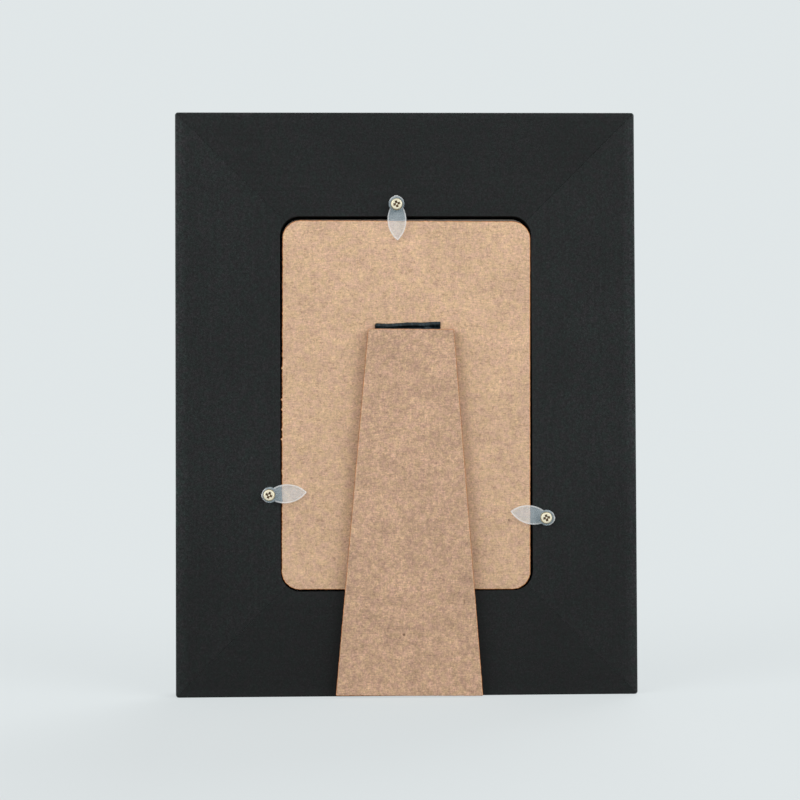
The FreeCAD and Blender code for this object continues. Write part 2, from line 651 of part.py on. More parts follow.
# Stay ribbon: folded between the board and the leg, it is taut when the leg is fully open
def make_stay_ribbon():
    body = new_body("stay_ribbon")
    place(body, cell("leg_shift"), BOARD_BACK, f"{LEG_TOP} - {STAY_DROP}")
    profile = new_sketch(body, "YZ_Plane", "stay_profile", "-Sizes.stay_width / 2")
    thick = cell("stay_thickness")
    fold = f"({STAY_DROP} - {STAY_REACH})"
    fold_inside = f"({fold} + {thick})"
    outer_face = f"(Sizes.leg_gap - {thick})"
    draw_polygon(profile, (
        ("0", cell("stay_tab")), ("0", fold), (cell("leg_gap"), fold),
        (cell("leg_gap"), cell("stay_tab")), (outer_face, cell("stay_tab")),
        (outer_face, fold_inside), (thick, fold_inside), (thick, cell("stay_tab")),
    ))
    strip = pad(body, profile, "stay_strip", cell("stay_width"), False)
    gap = size("leg_gap")
    thickness = size("stay_thickness")
    depth = strip.Shape.BoundBox.ZMin
    inner = edges_where(strip, lambda edge: runs_across(edge, thickness, depth + thickness))
    inner += edges_where(strip, lambda edge: runs_across(edge, gap - thickness, depth + thickness))
    strip = soften(body, "Fillet", "stay_inner_bends", strip, inner, cell("stay_inner_bend"))
    outer = edges_where(strip, lambda edge: runs_across(edge, 0, depth))
    outer += edges_where(strip, lambda edge: runs_across(edge, gap, depth))
    bend = "(Sizes.stay_inner_bend + Sizes.stay_thickness)"
    soften(body, "Fillet", "stay_outer_bends", strip, outer, bend)
    return body


# Assembly
sides = ("top", "left", "right")
turn_buttons = [make_turn_button(side) for side in sides]
button_screws = [make_button_screw(side) for side in sides]
left_edge = f"{FRAME_WIDTH} / 2"
right_edge = f"-{FRAME_WIDTH} / 2"
corner_nails = [
    make_corner_nails("bottom_left", left_edge, "0", None),
    make_corner_nails("bottom_right", right_edge, "0", "90"),
    make_corner_nails("top_right", right_edge, FRAME_HEIGHT, "180"),
    make_corner_nails("top_left", left_edge, FRAME_HEIGHT, "270"),
]

hardware = doc.addObject("Part::Compound", "hardware")
hardware.Links = button_screws + corner_nails
bored_blank = doc.addObject("Part::Cut", "bored_blank")
bored_blank.Base = make_blank()
bored_blank.Tool = hardware
middle_height = f"{FRAME_HEIGHT} / 2"
rails = [
    make_rail("bottom", bored_blank, "0", "0", 0, FRAME_WIDTH),
    make_rail("top", bored_blank, "0", FRAME_HEIGHT, 180, FRAME_WIDTH),
    make_rail("left", bored_blank, left_edge, middle_height, -90, FRAME_HEIGHT),
    make_rail("right", bored_blank, right_edge, middle_height, 90, FRAME_HEIGHT),
]
glass_pane = make_pocket_sheet("glass_pane", cell("glass_gap"), cell("glass_thickness"), GLASS_FRONT)
insert_gap = "(Sizes.pocket_play / 2)"
insert_sheet = make_pocket_sheet("insert_sheet", insert_gap, cell("insert_thickness"), INSERT_FRONT)
pieces = rails + corner_nails + turn_buttons + button_screws
pieces += [glass_pane, insert_sheet, make_filler_card(), make_backing_board()]
pieces += [make_hinge_strap(), make_easel_leg(), make_stay_ribbon()]
doc.recompute()

# Checks before anything is written
for thing in doc.Objects:
    if "Invalid" in thing.State or "Error" in thing.State:
        raise ValueError(f"{thing.Name} failed: {thing.State}")
for piece in pieces:
    if piece.Shape.isNull() or not piece.Shape.isValid():
        raise ValueError(f"{piece.Label} has no valid shape")

# One file for each piece
os.makedirs("parts", exist_ok=True)
for piece in pieces:
    piece.Shape.exportStep(f"parts/{piece.Label}.step")
    box = piece.Shape.BoundBox
    ends = (box.XMin, box.XMax, box.YMin, box.YMax, box.ZMin, box.ZMax)
    spans = " ".join(f"{end:.2f}" for end in ends)
    print(f"{piece.Label}: {len(piece.Shape.Solids)} solids, {piece.Shape.Volume:.1f} mm3, {spans}")
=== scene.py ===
# %% [markdown]
# Easel back photo frame, seen from behind.
# The real thing is a black wooden frame for a 4 by 6 inch print. Its back is closed by a plain
# fibreboard, which three small clear turn buttons hold in the pocket, and a fibreboard leg hangs
# on a strap of black leatherette, so that the frame can stand on a table.
# The CAD model gives every size and place. This script dresses it: it loads the CAD nodes as a
# fixed frame, builds finer pieces in their places, and gives each surface its finish.

# %% Load the CAD model
import math
import random
from contextlib import contextmanager

import bmesh
import bpy
from mathutils import Matrix, Vector


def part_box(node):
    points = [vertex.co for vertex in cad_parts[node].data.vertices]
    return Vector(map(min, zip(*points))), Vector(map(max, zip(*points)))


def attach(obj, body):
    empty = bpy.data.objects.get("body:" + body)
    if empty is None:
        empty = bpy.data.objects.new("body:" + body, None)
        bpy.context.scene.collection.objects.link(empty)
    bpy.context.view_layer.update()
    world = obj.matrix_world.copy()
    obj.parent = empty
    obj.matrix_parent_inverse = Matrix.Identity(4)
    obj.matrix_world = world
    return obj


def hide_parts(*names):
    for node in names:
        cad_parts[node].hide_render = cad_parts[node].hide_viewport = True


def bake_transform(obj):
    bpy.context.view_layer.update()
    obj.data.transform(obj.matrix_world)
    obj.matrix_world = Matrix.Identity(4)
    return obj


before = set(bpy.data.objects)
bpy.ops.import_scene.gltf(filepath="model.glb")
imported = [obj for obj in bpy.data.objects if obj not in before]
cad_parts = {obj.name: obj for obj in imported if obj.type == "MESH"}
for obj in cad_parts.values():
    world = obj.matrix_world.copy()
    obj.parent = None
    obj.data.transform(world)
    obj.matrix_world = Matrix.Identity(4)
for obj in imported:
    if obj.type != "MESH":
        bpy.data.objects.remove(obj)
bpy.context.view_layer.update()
print("CAD nodes:", ", ".join(sorted(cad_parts)))

# %% [markdown]
# The camera comes first, because everything is judged through it.
# The photograph was taken from behind the frame, almost square on. The four corners of the
# frame's outline in it, set against the real outline, give the distance and the slight tilt.
# A 70 mm lens is long enough to keep the rails parallel, as they are there.

# %% Camera
CAMERA_PLACE = (0.01948, 0.65005, 0.11103)
CAMERA_TILT = (90.979, 0.238, 178.506)
LENS = 70
SENSOR = 36

camera_data = bpy.data.cameras.new("camera_behind")
camera_data.lens = LENS
camera_data.sensor_width = SENSOR
camera = bpy.data.objects.new("camera_behind", camera_data)
camera.location = CAMERA_PLACE
camera.rotation_euler = [math.radians(turn) for turn in CAMERA_TILT]
bpy.context.scene.collection.objects.link(camera)
bpy.context.scene.camera = camera
print("camera stands", round(camera.location.y, 3), "m behind the frame")

# %% [markdown]
# Helpers for modelling by hand, in code.
# Every edit starts in the same way: the piece is the only one selected, its mesh is opened with
# nothing selected, and then faces, edges or points are chosen by where they are or which way they
# look. Blender's own tolerances are coarse next to parts a millimetre wide, so every piece is
# modelled with one unit to the millimetre, and brought to metres when it is finished.

# %% Selecting and editing
MERGE = 1e-5
TOLERANCE = 1e-3
SHARP = math.radians(30)


def deselect():
    bpy.ops.object.select_all(action="DESELECT")


def alone(piece):
    """Select one piece and nothing else."""
    deselect()
    piece.select_set(True)
    bpy.context.view_layer.objects.active = piece


@contextmanager
def editing(piece):
    """Open a piece's mesh with nothing selected, and close it again."""
    alone(piece)
    bpy.ops.object.mode_set(mode="EDIT")
    bpy.ops.mesh.select_mode(type="FACE")
    bpy.ops.mesh.select_all(action="DESELECT")
    yield
    bpy.ops.object.mode_set(mode="OBJECT")


def choose(piece, kind, test):
    """In edit mode, select the points, edges or faces that pass a test."""
    bpy.ops.mesh.select_mode(type=kind)
    bpy.ops.mesh.select_all(action="DESELECT")
    mesh = bmesh.from_edit_mesh(piece.data)
    for part in {"VERT": mesh.verts, "EDGE": mesh.edges, "FACE": mesh.faces}[kind]:
        if test(part):
            part.select_set(True)
    bmesh.update_edit_mesh(piece.data)


def choose_all(kind="FACE"):
    bpy.ops.mesh.select_mode(type=kind)
    bpy.ops.mesh.select_all(action="SELECT")


def extrude(shift):
    bpy.ops.mesh.extrude_region_move(TRANSFORM_OT_translate={"value": shift})


def stretch(shares, middle):
    """In edit mode, resize what is chosen about a middle."""
    bpy.ops.transform.resize(value=shares, center_override=middle)


def turn_all(degrees, middle):
    """In edit mode, choose everything and turn it about a line from front to back."""
    choose_all()
    turn = math.radians(degrees)
    bpy.ops.transform.rotate(value=turn, orient_axis="Y", center_override=middle)


def near(first, second):
    return abs(first - second) < TOLERANCE


def runs_along(edge, axis):
    """Whether an edge runs along one axis only."""
    change = edge.verts[0].co - edge.verts[1].co
    return all(near(change[other], 0) for other in range(3) if other != axis)


def lies_at(edge, place, axis=1):
    """Whether both ends of an edge lie at one place along an axis, here from front to back."""
    return all(near(point.co[axis], place) for point in edge.verts)


def is_sharp(edge):
    return edge.calc_face_angle(0) > SHARP


print("helpers for editing are ready")


# %% Starting, joining and finishing a piece
def settled(name):
    """The new piece under its name, with its place and size applied to its mesh."""
    bpy.ops.object.transform_apply(location=True, rotation=True, scale=True)
    bpy.context.object.name = name
    return bpy.context.object


def add_block(name, low, high):
    """A block between two corners, as the start of a piece."""
    deselect()
    middle = [(a + b) / 2 for a, b in zip(low, high)]
    spans = [b - a for a, b in zip(low, high)]
    bpy.ops.mesh.primitive_cube_add(size=1, location=middle, scale=spans)
    return settled(name)


def add_rod(name, radius, low, high, across=0.0, up=0.0, points=48):
    """A round rod that runs from front to back, as the start of a piece."""
    deselect()
    bpy.ops.mesh.primitive_cylinder_add(
        vertices=points, radius=radius, depth=high - low,
        location=(across, (low + high) / 2, up), rotation=(math.radians(90), 0, 0),
    )
    return settled(name)


def modify(piece, kind, **settings):
    """Give a piece a modifier, set it and apply it."""
    alone(piece)
    modifier = piece.modifiers.new(kind.lower(), kind)
    for setting, value in settings.items():
        setattr(modifier, setting, value)
    bpy.ops.object.modifier_apply(modifier=modifier.name)


def combine(piece, other, how):
    """Join, cut or cross two solids, and throw the second away."""
    modify(piece, "BOOLEAN", operation=how, solver="EXACT", object=other)
    bpy.data.objects.remove(other)


def cut(piece, other):
    combine(piece, other, "DIFFERENCE")


def shade(piece, degrees=40):
    """Smooth the rounded edges and keep the flat faces flat."""
    alone(piece)
    bpy.ops.object.shade_smooth_by_angle(angle=math.radians(degrees))
    modify(piece, "WEIGHTED_NORMAL", keep_sharp=True)


def copy_of(piece, name):
    twin = piece.copy()
    twin.data = piece.data.copy()
    twin.name = name
    bpy.context.scene.collection.objects.link(twin)
    return twin


def to_metres(piece):
    piece.data.transform(Matrix.Scale(0.001, 4))


print("helpers for whole pieces are ready")

# %% [markdown]
# Helpers for finishes.
# A finish is a small tree of nodes. Patterns start from the piece's own Object coordinates, so
# they keep their real size and move with the piece. Noise of a given blotch size is spread to a
# range of brightness and multiplied onto the colour, because real surfaces vary at several sizes
# at once.

# %% Building a node tree
def new_material(name):
    finish = bpy.data.materials.new(name)
    finish.use_nodes = True
    tree = finish.node_tree
    return finish, tree, tree.nodes["Principled BSDF"]


def feed(tree, socket, value):
    """Link a socket to another node's output, or set it to a constant."""
    if isinstance(value, bpy.types.NodeSocket):
        tree.links.new(value, socket)
    elif socket.type == "RGBA":
        socket.default_value = (*value[:3], 1.0)
    else:
        socket.default_value = value


def add_node(tree, kind, sockets, **settings):
    """The outputs of a new node."""
    node = tree.nodes.new(kind)
    for setting, value in settings.items():
        setattr(node, setting, value)
    for socket, value in sockets.items():
        feed(tree, node.inputs[socket], value)
    return node.outputs


def calculate(tree, operation, *values):
    return add_node(tree, "ShaderNodeMath", dict(enumerate(values)), operation=operation)[0]


def mix_shaders(tree, factor, first, second):
    return add_node(tree, "ShaderNodeMixShader", {0: factor, 1: first, 2: second})[0]


def add_to_surface(tree, shader, share, other):
    """Let another shader take a share of what a finish shows."""
    both = mix_shaders(tree, share, shader.outputs[0], other)
    feed(tree, tree.nodes["Material Output"].inputs[0], both)


def any_of(tree, names):
    """One where the ray is of any of the named kinds."""
    rays = add_node(tree, "ShaderNodeLightPath", {})
    total = rays[names[0]]
    for name in names[1:]:
        total = calculate(tree, "MAXIMUM", total, rays[name])
    return total


print("helpers for node trees are ready")


# %% Patterns
def object_place(tree):
    return add_node(tree, "ShaderNodeTexCoord", {})["Object"]


def along_axes(tree, vector):
    return add_node(tree, "ShaderNodeSeparateXYZ", {0: vector})


def scaled(tree, place, size, stretch=(1, 1, 1), shift=0.0):
    """Coordinates in which one unit is a pattern's size in metres, stretched along each axis."""
    scale = [1 / (size * share) for share in stretch]
    sockets = {"Vector": place, "Scale": scale, "Location": (shift, 1.7 * shift, 2.3 * shift)}
    return add_node(tree, "ShaderNodeMapping", sockets)[0]


def noise(tree, place, size, detail=2.0, stretch=(1, 1, 1), shift=0.0, roughness=0.5):
    vector = scaled(tree, place, size, stretch, shift)
    sockets = {"Vector": vector, "Scale": 1.0, "Detail": detail, "Roughness": roughness}
    return add_node(tree, "ShaderNodeTexNoise", sockets)[0]


def spread(tree, value, low, high, start=0.3, end=0.7):
    """Map a pattern's range from start to end onto low to high."""
    sockets = {"Value": value, "From Min": start, "From Max": end, "To Min": low, "To Max": high}
    return add_node(tree, "ShaderNodeMapRange", sockets)[0]


def rise(tree, value, start=0.3, end=0.7):
    """Zero below the start, one above the end."""
    return spread(tree, value, 0.0, 1.0, start, end)


def fall(tree, value, start, end):
    """One below the start, zero above the end."""
    return spread(tree, value, 1.0, 0.0, start, end)


def distance(tree, places, axis, middle):
    """How far a place lies from a middle along one axis."""
    return calculate(tree, "ABSOLUTE", calculate(tree, "SUBTRACT", places[axis], middle))


def flatness(tree):
    """One where the surface looks straight back or front, and zero on the edges' sides."""
    normal = add_node(tree, "ShaderNodeTexCoord", {})["Normal"]
    return calculate(tree, "ABSOLUTE", along_axes(tree, normal)[1])


def spot(tree, place, centre, radius):
    """One inside a small round mark, and zero outside it."""
    far = add_node(tree, "ShaderNodeVectorMath", {0: place, 1: centre}, operation="DISTANCE")
    return fall(tree, far["Value"], radius * 0.5, radius)


print("helpers for patterns are ready")


# %% Colours and surfaces
def mix(tree, factor, first, second, blend="MIX"):
    settings = {"data_type": "RGBA", "blend_type": blend}
    return add_node(tree, "ShaderNodeMix", {0: factor, 6: first, 7: second}, **settings)[2]


def times(tree, colour, other):
    return mix(tree, 1.0, colour, other, "MULTIPLY")


def vary(tree, colour, *parts):
    """Make a colour darker and paler with patterns, each by its share."""
    for pattern, share in parts:
        colour = times(tree, colour, spread(tree, pattern, 1 - share, 1 + share))
    return colour


def cover(tree, shader, colour, roughness, constants=None):
    """Give a shader its colour and roughness, and its constants by name."""
    sockets = {"Base Color": colour, "Roughness": roughness, **(constants or {})}
    for name, value in sockets.items():
        feed(tree, shader.inputs[name], value)


def bump(tree, shader, depth, strength, *parts):
    """Raise and sink a surface by patterns, each by its share."""
    height = 0.0
    for pattern, share in parts:
        height = calculate(tree, "MULTIPLY_ADD", pattern, share, height)
    sockets = {"Height": height, "Distance": depth, "Strength": strength}
    feed(tree, shader.inputs["Normal"], add_node(tree, "ShaderNodeBump", sockets)[0])


print("helpers for surfaces are ready")

# %% [markdown]
# Dressing a piece: what every finished piece gets.
# It rides on the CAD body that carries it, and stands for its CAD node, which is then not shown.
# Its triangles are counted, and how far its box lies from the node's is printed. A piece with two
# finishes has the faces of the second one marked before.

# %% Dress
def mark_faces(piece, test):
    """Mark the faces that pass a test for the second finish."""
    for face in piece.data.polygons:
        face.material_index = 1 if test(face) else 0


def dress(piece, finishes, node, body=None):
    marks = [face.material_index for face in piece.data.polygons]
    piece.data.materials.clear()
    for finish in finishes:
        piece.data.materials.append(finish)
    piece.data.polygons.foreach_set("material_index", marks)
    if body:
        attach(piece, body)
    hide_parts(node)
    piece.data.calc_loop_triangles()
    low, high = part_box(node)
    miss = 0.0
    for axis in range(3):
        places = [point.co[axis] for point in piece.data.vertices]
        miss = max(miss, abs(min(places) - low[axis]), abs(max(places) - high[axis]))
    count = len(piece.data.loop_triangles)
    print(f"{piece.name}: {count} triangles, within {miss * 1000:.2f} mm of {node}")


print("dress is ready")

# %% [markdown]
# Sizes of the frame, in millimetres.
# They are the CAD's driving sizes. The paint needs them to know where a rail's edges are, and the
# rails are built from them.

# %% Sizes of the frame
OUTER_WIDTH = 190.5
OUTER_HEIGHT = 241.3
HALF_DEPTH = 7.5
RAIL = 43.2
LIP = 6.4
POCKET_FLOOR = -0.85
HALF_WIDTH = OUTER_WIDTH / 2
HALF_HEIGHT = OUTER_HEIGHT / 2
HALF_POCKET = HALF_WIDTH - RAIL
HALF_WINDOW = HALF_POCKET - LIP
print("pocket", 2 * HALF_POCKET, "by", round(OUTER_HEIGHT - 2 * RAIL, 1), "mm")

# %% [markdown]
# Black paint on the rails.
# The frame is wood, sprayed matt black. Close up it isn't one black: the grain under the paint
# leaves faint streaks along each rail, the spray leaves a fine mottle, and the paint reflects
# very little. Towards the outer edges, and most on the rounded ones, it is made a little paler:
# partly rubbed paint, partly a painted highlight where the edges catch the light.
# One finish is made for the upright rails and one for the level ones, so that the streaks follow
# the wood, and the upright ones are painted a shade paler, as painted light. Towards the foot
# the paint is darkened, as painted shade where the light falls off.

# %% Paint
PAINT_TONES = ((0.0061, 0.0086, 0.0081), (0.0082, 0.0080, 0.0087))
# Paler tone for the rounded edges: partly rubbed paint, partly a painted highlight where they catch the
# light.
RUBBED_AND_HIGHLIT = (1.8, 1.8, 1.75)
RAIL_STREAKS = {"upright": (1, 1, 18), "level": (18, 1, 1)}
# The upright rails' paint is made paler: painted light, as if more light fell on them.
RAIL_PAINTED_LIGHT = {"upright": 1.32, "level": 1.0}
# How much paler the outer band is, upright and level: partly rubbed paint, partly painted highlight.
RAIL_RUB_AND_HIGHLIGHT = {"upright": 1.95, "level": 1.25}
RAIL_AXIS = {
    "upright": (0, 0.0, HALF_WIDTH / 1000),
    "level": (2, HALF_HEIGHT / 1000, HALF_HEIGHT / 1000),
}


def make_paint(way):
    finish, tree, shader = new_material(f"rail_paint_{way}")
    place = object_place(tree)
    axis, middle, half = RAIL_AXIS[way]
    streaks = noise(tree, place, 0.0011, 3, RAIL_STREAKS[way], 2.0)
    mottle = noise(tree, place, 0.0011, 3, roughness=0.65)
    speckle = noise(tree, place, 0.0006, 1, shift=5.0)
    cloud = noise(tree, place, 0.035, 2, shift=9.0)
    tint = noise(tree, place, 0.0028, 1, shift=3.0)
    # The upright rails' tones are raised here, as painted light.
    tones = [[RAIL_PAINTED_LIGHT[way] * part for part in tone] for tone in PAINT_TONES]
    colour = mix(tree, rise(tree, tint, 0.35, 0.65), *tones)
    colour = vary(tree, colour, (cloud, 0.16), (streaks, 0.14), (mottle, 0.70), (speckle, 0.50))
    places = along_axes(tree, place)
    # Darker towards the foot: painted shade, where the light falls off.
    colour = times(tree, colour, spread(tree, places[2], 0.62, 1.0, 0.005, 0.10))
    flat = flatness(tree)
    faced = rise(tree, flat, 0.02, 0.3)
    # A paler band towards the outer edges and on the rounded edges: partly rubbed paint, partly painted
    # highlight.
    far = distance(tree, places, axis, middle)
    band = spread(tree, far, 0.0, RAIL_RUB_AND_HIGHLIGHT[way] - 1, half - 0.0052, half - 0.0008)
    colour = times(tree, colour, calculate(tree, "MULTIPLY_ADD", band, faced, 1.0))
    worn_and_highlit = calculate(tree, "MULTIPLY", fall(tree, flat, 0.8, 0.998), faced)
    colour = mix(tree, worn_and_highlit, colour, times(tree, colour, RUBBED_AND_HIGHLIT))
    cover(tree, shader, colour, spread(tree, mottle, 0.56, 0.72), {"Specular IOR Level": 0.22})
    bump(tree, shader, 0.00006, 0.6, (streaks, 0.5), (mottle, 1.0), (speckle, 0.4))
    return finish


paint = {way: make_paint(way) for way in RAIL_STREAKS}
print("paints:", ", ".join(finish.name for finish in paint.values()))

# %% [markdown]
# The four rails.
# On the real frame each rail is a moulding, mitred at both ends. It could be built as four
# mouldings, but their mitres would have to meet exactly. Instead the whole ring is modelled
# once, as the solid it would be glued up from: a block with rounded edges, less a block for the
# pocket behind and a block with a flared mouth for the window in front. The ring is then parted
# at the mitres, and the sharp edges at the joints get a hair of a bevel, which shows as the fine
# line that a real mitre has.

# %% Ring blank with rounded edges
CORNER_RADIUS = 1.2
ARRIS_RADIUS = 0.8


def bevel(piece, test, width, steps):
    """In edit mode, bevel the edges that pass a test. Without slide, the width is even all round."""
    choose(piece, "EDGE", test)
    bpy.ops.mesh.bevel(
        offset=width, segments=steps, affect="EDGES", clamp_overlap=False, loop_slide=False
    )


def runs_back(edge):
    return runs_along(edge, 1)


def is_arris(edge):
    """Whether an edge runs round the front or the back face of the blank."""
    return lies_at(edge, -HALF_DEPTH) or lies_at(edge, HALF_DEPTH)


ring = add_block(
    "frame_ring", (-HALF_WIDTH, -HALF_DEPTH, 0), (HALF_WIDTH, HALF_DEPTH, OUTER_HEIGHT)
)
with editing(ring):
    bevel(ring, runs_back, CORNER_RADIUS, 5)
    bevel(ring, is_arris, ARRIS_RADIUS, 5)
print("blank has", len(ring.data.polygons), "faces")

# %% Pocket and window
OVERRUN = 1
POCKET_CORNER = 8.1
FLARE_START = -5.5
FLARE = 3

pocket = add_block(
    "pocket_block", (-HALF_POCKET, POCKET_FLOOR, RAIL),
    (HALF_POCKET, HALF_DEPTH + OVERRUN, OUTER_HEIGHT - RAIL),
)
with editing(pocket):
    bevel(pocket, runs_back, POCKET_CORNER, 14)
cut(ring, pocket)
window_low, window_high = RAIL + LIP, OUTER_HEIGHT - RAIL - LIP
window = add_block(
    "window_block", (-HALF_WINDOW, FLARE_START, window_low), (HALF_WINDOW, 0, window_high)
)
with editing(window):
    choose(window, "FACE", lambda face: face.normal.y < -0.9)
    extrude((0, -FLARE, 0))
    half_high = (window_high - window_low) / 2
    shares = (1 + FLARE / HALF_WINDOW, 1, 1 + FLARE / half_high)
    stretch(shares, (0, FLARE_START - FLARE, HALF_HEIGHT))
cut(ring, window)
print("ring has", len(ring.data.polygons), "faces")

# %% [markdown]
# The mitres.
# A rail is what the ring and a wedge have in common, where the wedge is a block whose inner side
# is shorter by the rail's width at each end, which makes its ends run at 45 degrees. The Boolean
# intersection closes the cut, as a saw leaves it. The saw takes a hair of wood away, which also
# keeps the cut clear of the ring's own diagonal edges.

# %% Rails cut at the mitres
WEDGE_DEPTH = RAIL + LIP + OVERRUN
KERF = 0.012
MITRE_BEVEL = 0.07
POCKET_RIM_BEVEL = 0.25
SIDES = ("top", "bottom", "left", "right")


def is_upright_rail(side):
    return side in ("left", "right")


def add_wedge(side):
    """The room that one rail has between its two mitres."""
    axis = 0 if is_upright_rail(side) else 2
    middle = (0, 0, HALF_HEIGHT)
    half = [size + OVERRUN for size in (HALF_WIDTH, HALF_DEPTH, HALF_HEIGHT)]
    half[2 - axis] -= KERF
    towards = 1 if side in ("left", "top") else -1
    low = [place - reach for place, reach in zip(middle, half)]
    high = [place + reach for place, reach in zip(middle, half)]
    outer = middle[axis] + towards * half[axis]
    low[axis], high[axis] = sorted((outer, outer - towards * (OVERRUN + WEDGE_DEPTH)))
    wedge = add_block(f"wedge_{side}", low, high)
    share = 1 - (OVERRUN + WEDGE_DEPTH) / half[2 - axis]
    with editing(wedge):
        choose(wedge, "FACE", lambda face: face.normal[axis] * towards < -0.9)
        stretch((1, 1, share) if is_upright_rail(side) else (share, 1, 1), middle)
    return wedge


def on_mitre(edge):
    """Whether a sharp edge lies in one of the eight cut faces."""
    for point in edge.verts:
        across = HALF_WIDTH - abs(point.co.x)
        gaps = [abs(across - point.co.z), abs(across - OUTER_HEIGHT + point.co.z)]
        if not any(near(gap, KERF) for gap in gaps):
            return False
    return is_sharp(edge)


def on_pocket_rim(edge):
    """Whether an edge lies round the pocket's mouth."""
    inside = all(
        abs(v.co.x) < HALF_POCKET + 0.1 and RAIL - 0.1 < v.co.z < OUTER_HEIGHT - RAIL + 0.1
        for v in edge.verts
    )
    return inside and lies_at(edge, HALF_DEPTH) and is_sharp(edge)


rails = {}
for side in SIDES:
    rail = copy_of(ring, f"painted_rail_{side}")
    combine(rail, add_wedge(side), "INTERSECT")
    with editing(rail):
        bevel(rail, on_pocket_rim, POCKET_RIM_BEVEL, 2)
        bevel(rail, on_mitre, MITRE_BEVEL, 1)
    rails[side] = rail
bpy.data.objects.remove(ring)
print("rails:", ", ".join(rail.name for rail in rails.values()))

# %% [markdown]
# Screw holes.
# Each turn button's screw goes into its rail, so the rail has a hole there: a rod as thick as
# the screw's core is subtracted. The places are the CAD's own.

# %% Pilot holes, shading and paint
SCREWS = {"top": (3.8, 202.8), "left": (56.65, 83.1), "right": (-57.4, 73.2)}
CORE_RADIUS = 0.9
PILOT_END = -1.7

for side, (across, up) in SCREWS.items():
    pilot = add_rod("pilot_rod", CORE_RADIUS, PILOT_END, HALF_DEPTH + OVERRUN, across, up, 16)
    cut(rails[side], pilot)
for side, rail in rails.items():
    shade(rail)
    to_metres(rail)
    way = "upright" if is_upright_rail(side) else "level"
    dress(rail, [paint[way]], f"rail_{side}", "frame")

# %% [markdown]
# Fibreboard for the back and the leg.
# It is wood fibre pressed into a thin sheet: warm tan, with a mottle of pinkish and yellowish
# fibres a millimetre or two across, finer grain, a few dark flecks and pale hairs. Its broken
# edges get a cream painted highlight where they start to round, and orange brown painted shade
# further round, where they turn away from the light.
# Its sawn sides are a dull brown in thin layers. So the colour follows the way a surface faces.
# The board is darkened a little towards its lower edge, and the leg a very little, as painted
# shade where the light falls off. The leg is a darker sheet of the same.

# %% Fibreboard
# Cream painted highlight where an edge starts to round, and orange brown painted shade further round.
EDGE_HIGHLIGHT_CREAM = (0.76, 0.50, 0.26)
EDGE_SHADE_BROWN = (0.40, 0.12, 0.03)
SAWN = (0.37, 0.225, 0.14)
DARK_FLECK = (0.78, 0.74, 0.73)
PALE_HAIR = (1.12, 1.14, 1.17)


def make_fibreboard(name, pink, yellow, contrast, painted_shade_low, marks, shift):
    finish, tree, shader = new_material(name)
    place = object_place(tree)
    cloud = noise(tree, place, 0.022, 2, shift=shift)
    blotch = noise(tree, place, 0.0048, 2, (1.4, 1, 1), shift + 6)
    mottle = noise(tree, place, 0.0017, 3, shift=shift + 1, roughness=0.6)
    grain = noise(tree, place, 0.0006, 2, shift=shift + 2)
    fibres = noise(tree, place, 0.0005, 2, (5.0, 1, 1), shift + 3)
    hairs = noise(tree, place, 0.0005, 2, (1, 1, 4.0), shift + 4)
    tint = noise(tree, place, 0.0026, 2, shift=shift + 5)
    flecks = noise(tree, place, 0.0007, 1, (1.8, 1, 1), shift + 7)
    threads = noise(tree, place, 0.0006, 1, (1, 1, 4.0), shift + 8)
    layers = noise(tree, place, 0.0007, 2, (3, 1, 3), shift + 9)
    colour = mix(tree, rise(tree, tint, 0.35, 0.65), pink, yellow)
    shares = (cloud, 0.04), (blotch, 0.05), (mottle, 0.08), (grain, 0.13), (fibres, 0.09), (hairs, 0.06)
    colour = vary(tree, colour, *((pattern, share * contrast) for pattern, share in shares))
    up = along_axes(tree, place)[2]
    # Darker towards the lower edge: painted shade, where the light falls off.
    colour = times(tree, colour, spread(tree, up, painted_shade_low, 1.02, 0.045, 0.195))
    dark = times(tree, colour, DARK_FLECK)
    pale = times(tree, colour, PALE_HAIR)
    colour = mix(tree, rise(tree, flecks, 0.60, 0.72), colour, dark)
    colour = mix(tree, rise(tree, threads, 0.66, 0.76), colour, pale)
    for centre, radius, tone in marks:
        mark = spot(tree, place, [part / 1000 for part in centre], radius / 1000)
        colour = mix(tree, mark, colour, tone)
    flat = flatness(tree)
    # By the way a surface faces: cream painted highlight, orange brown painted shade, and the sawn
    # sides' own brown.
    for share, tone in (
        (spread(tree, flat, 0.9, 0.0, 0.97, 0.9995), vary(tree, EDGE_HIGHLIGHT_CREAM, (grain, 0.2))),
        (fall(tree, flat, 0.86, 0.985), vary(tree, EDGE_SHADE_BROWN, (mottle, 0.5))),
        (fall(tree, flat, 0.1, 0.6), vary(tree, SAWN, (layers, 0.3))),
    ):
        colour = mix(tree, share, colour, tone)
    cover(tree, shader, colour, spread(tree, mottle, 0.62, 0.78), {"Specular IOR Level": 0.25})
    bump(tree, shader, 0.00006, 0.6, (mottle, 1.0), (grain, 0.8), (fibres, 0.5), (hairs, 0.4))
    return finish


PALE_NICK = (0.80, 0.68, 0.52)
board_finish = make_fibreboard(
    "fibreboard_of_board", (0.612, 0.397, 0.276), (0.650, 0.444, 0.272), 1.15, 0.93,
    [((-42.2, 7.4, 72.2), 0.55, (0.24, 0.15, 0.10)), ((47.4, 7.4, 44.5), 0.6, PALE_NICK),
     ((-48.3, 7.4, 194.9), 0.5, PALE_NICK)], 0.0,
)
leg_finish = make_fibreboard(
    "fibreboard_of_leg", (0.522, 0.329, 0.232), (0.540, 0.361, 0.225), 1.6, 0.97,
    [((1.55, 11.4, 25.77), 0.7, (0.20, 0.115, 0.07))], 20.0,
)
print("fibreboards:", board_finish.name, "and", leg_finish.name)

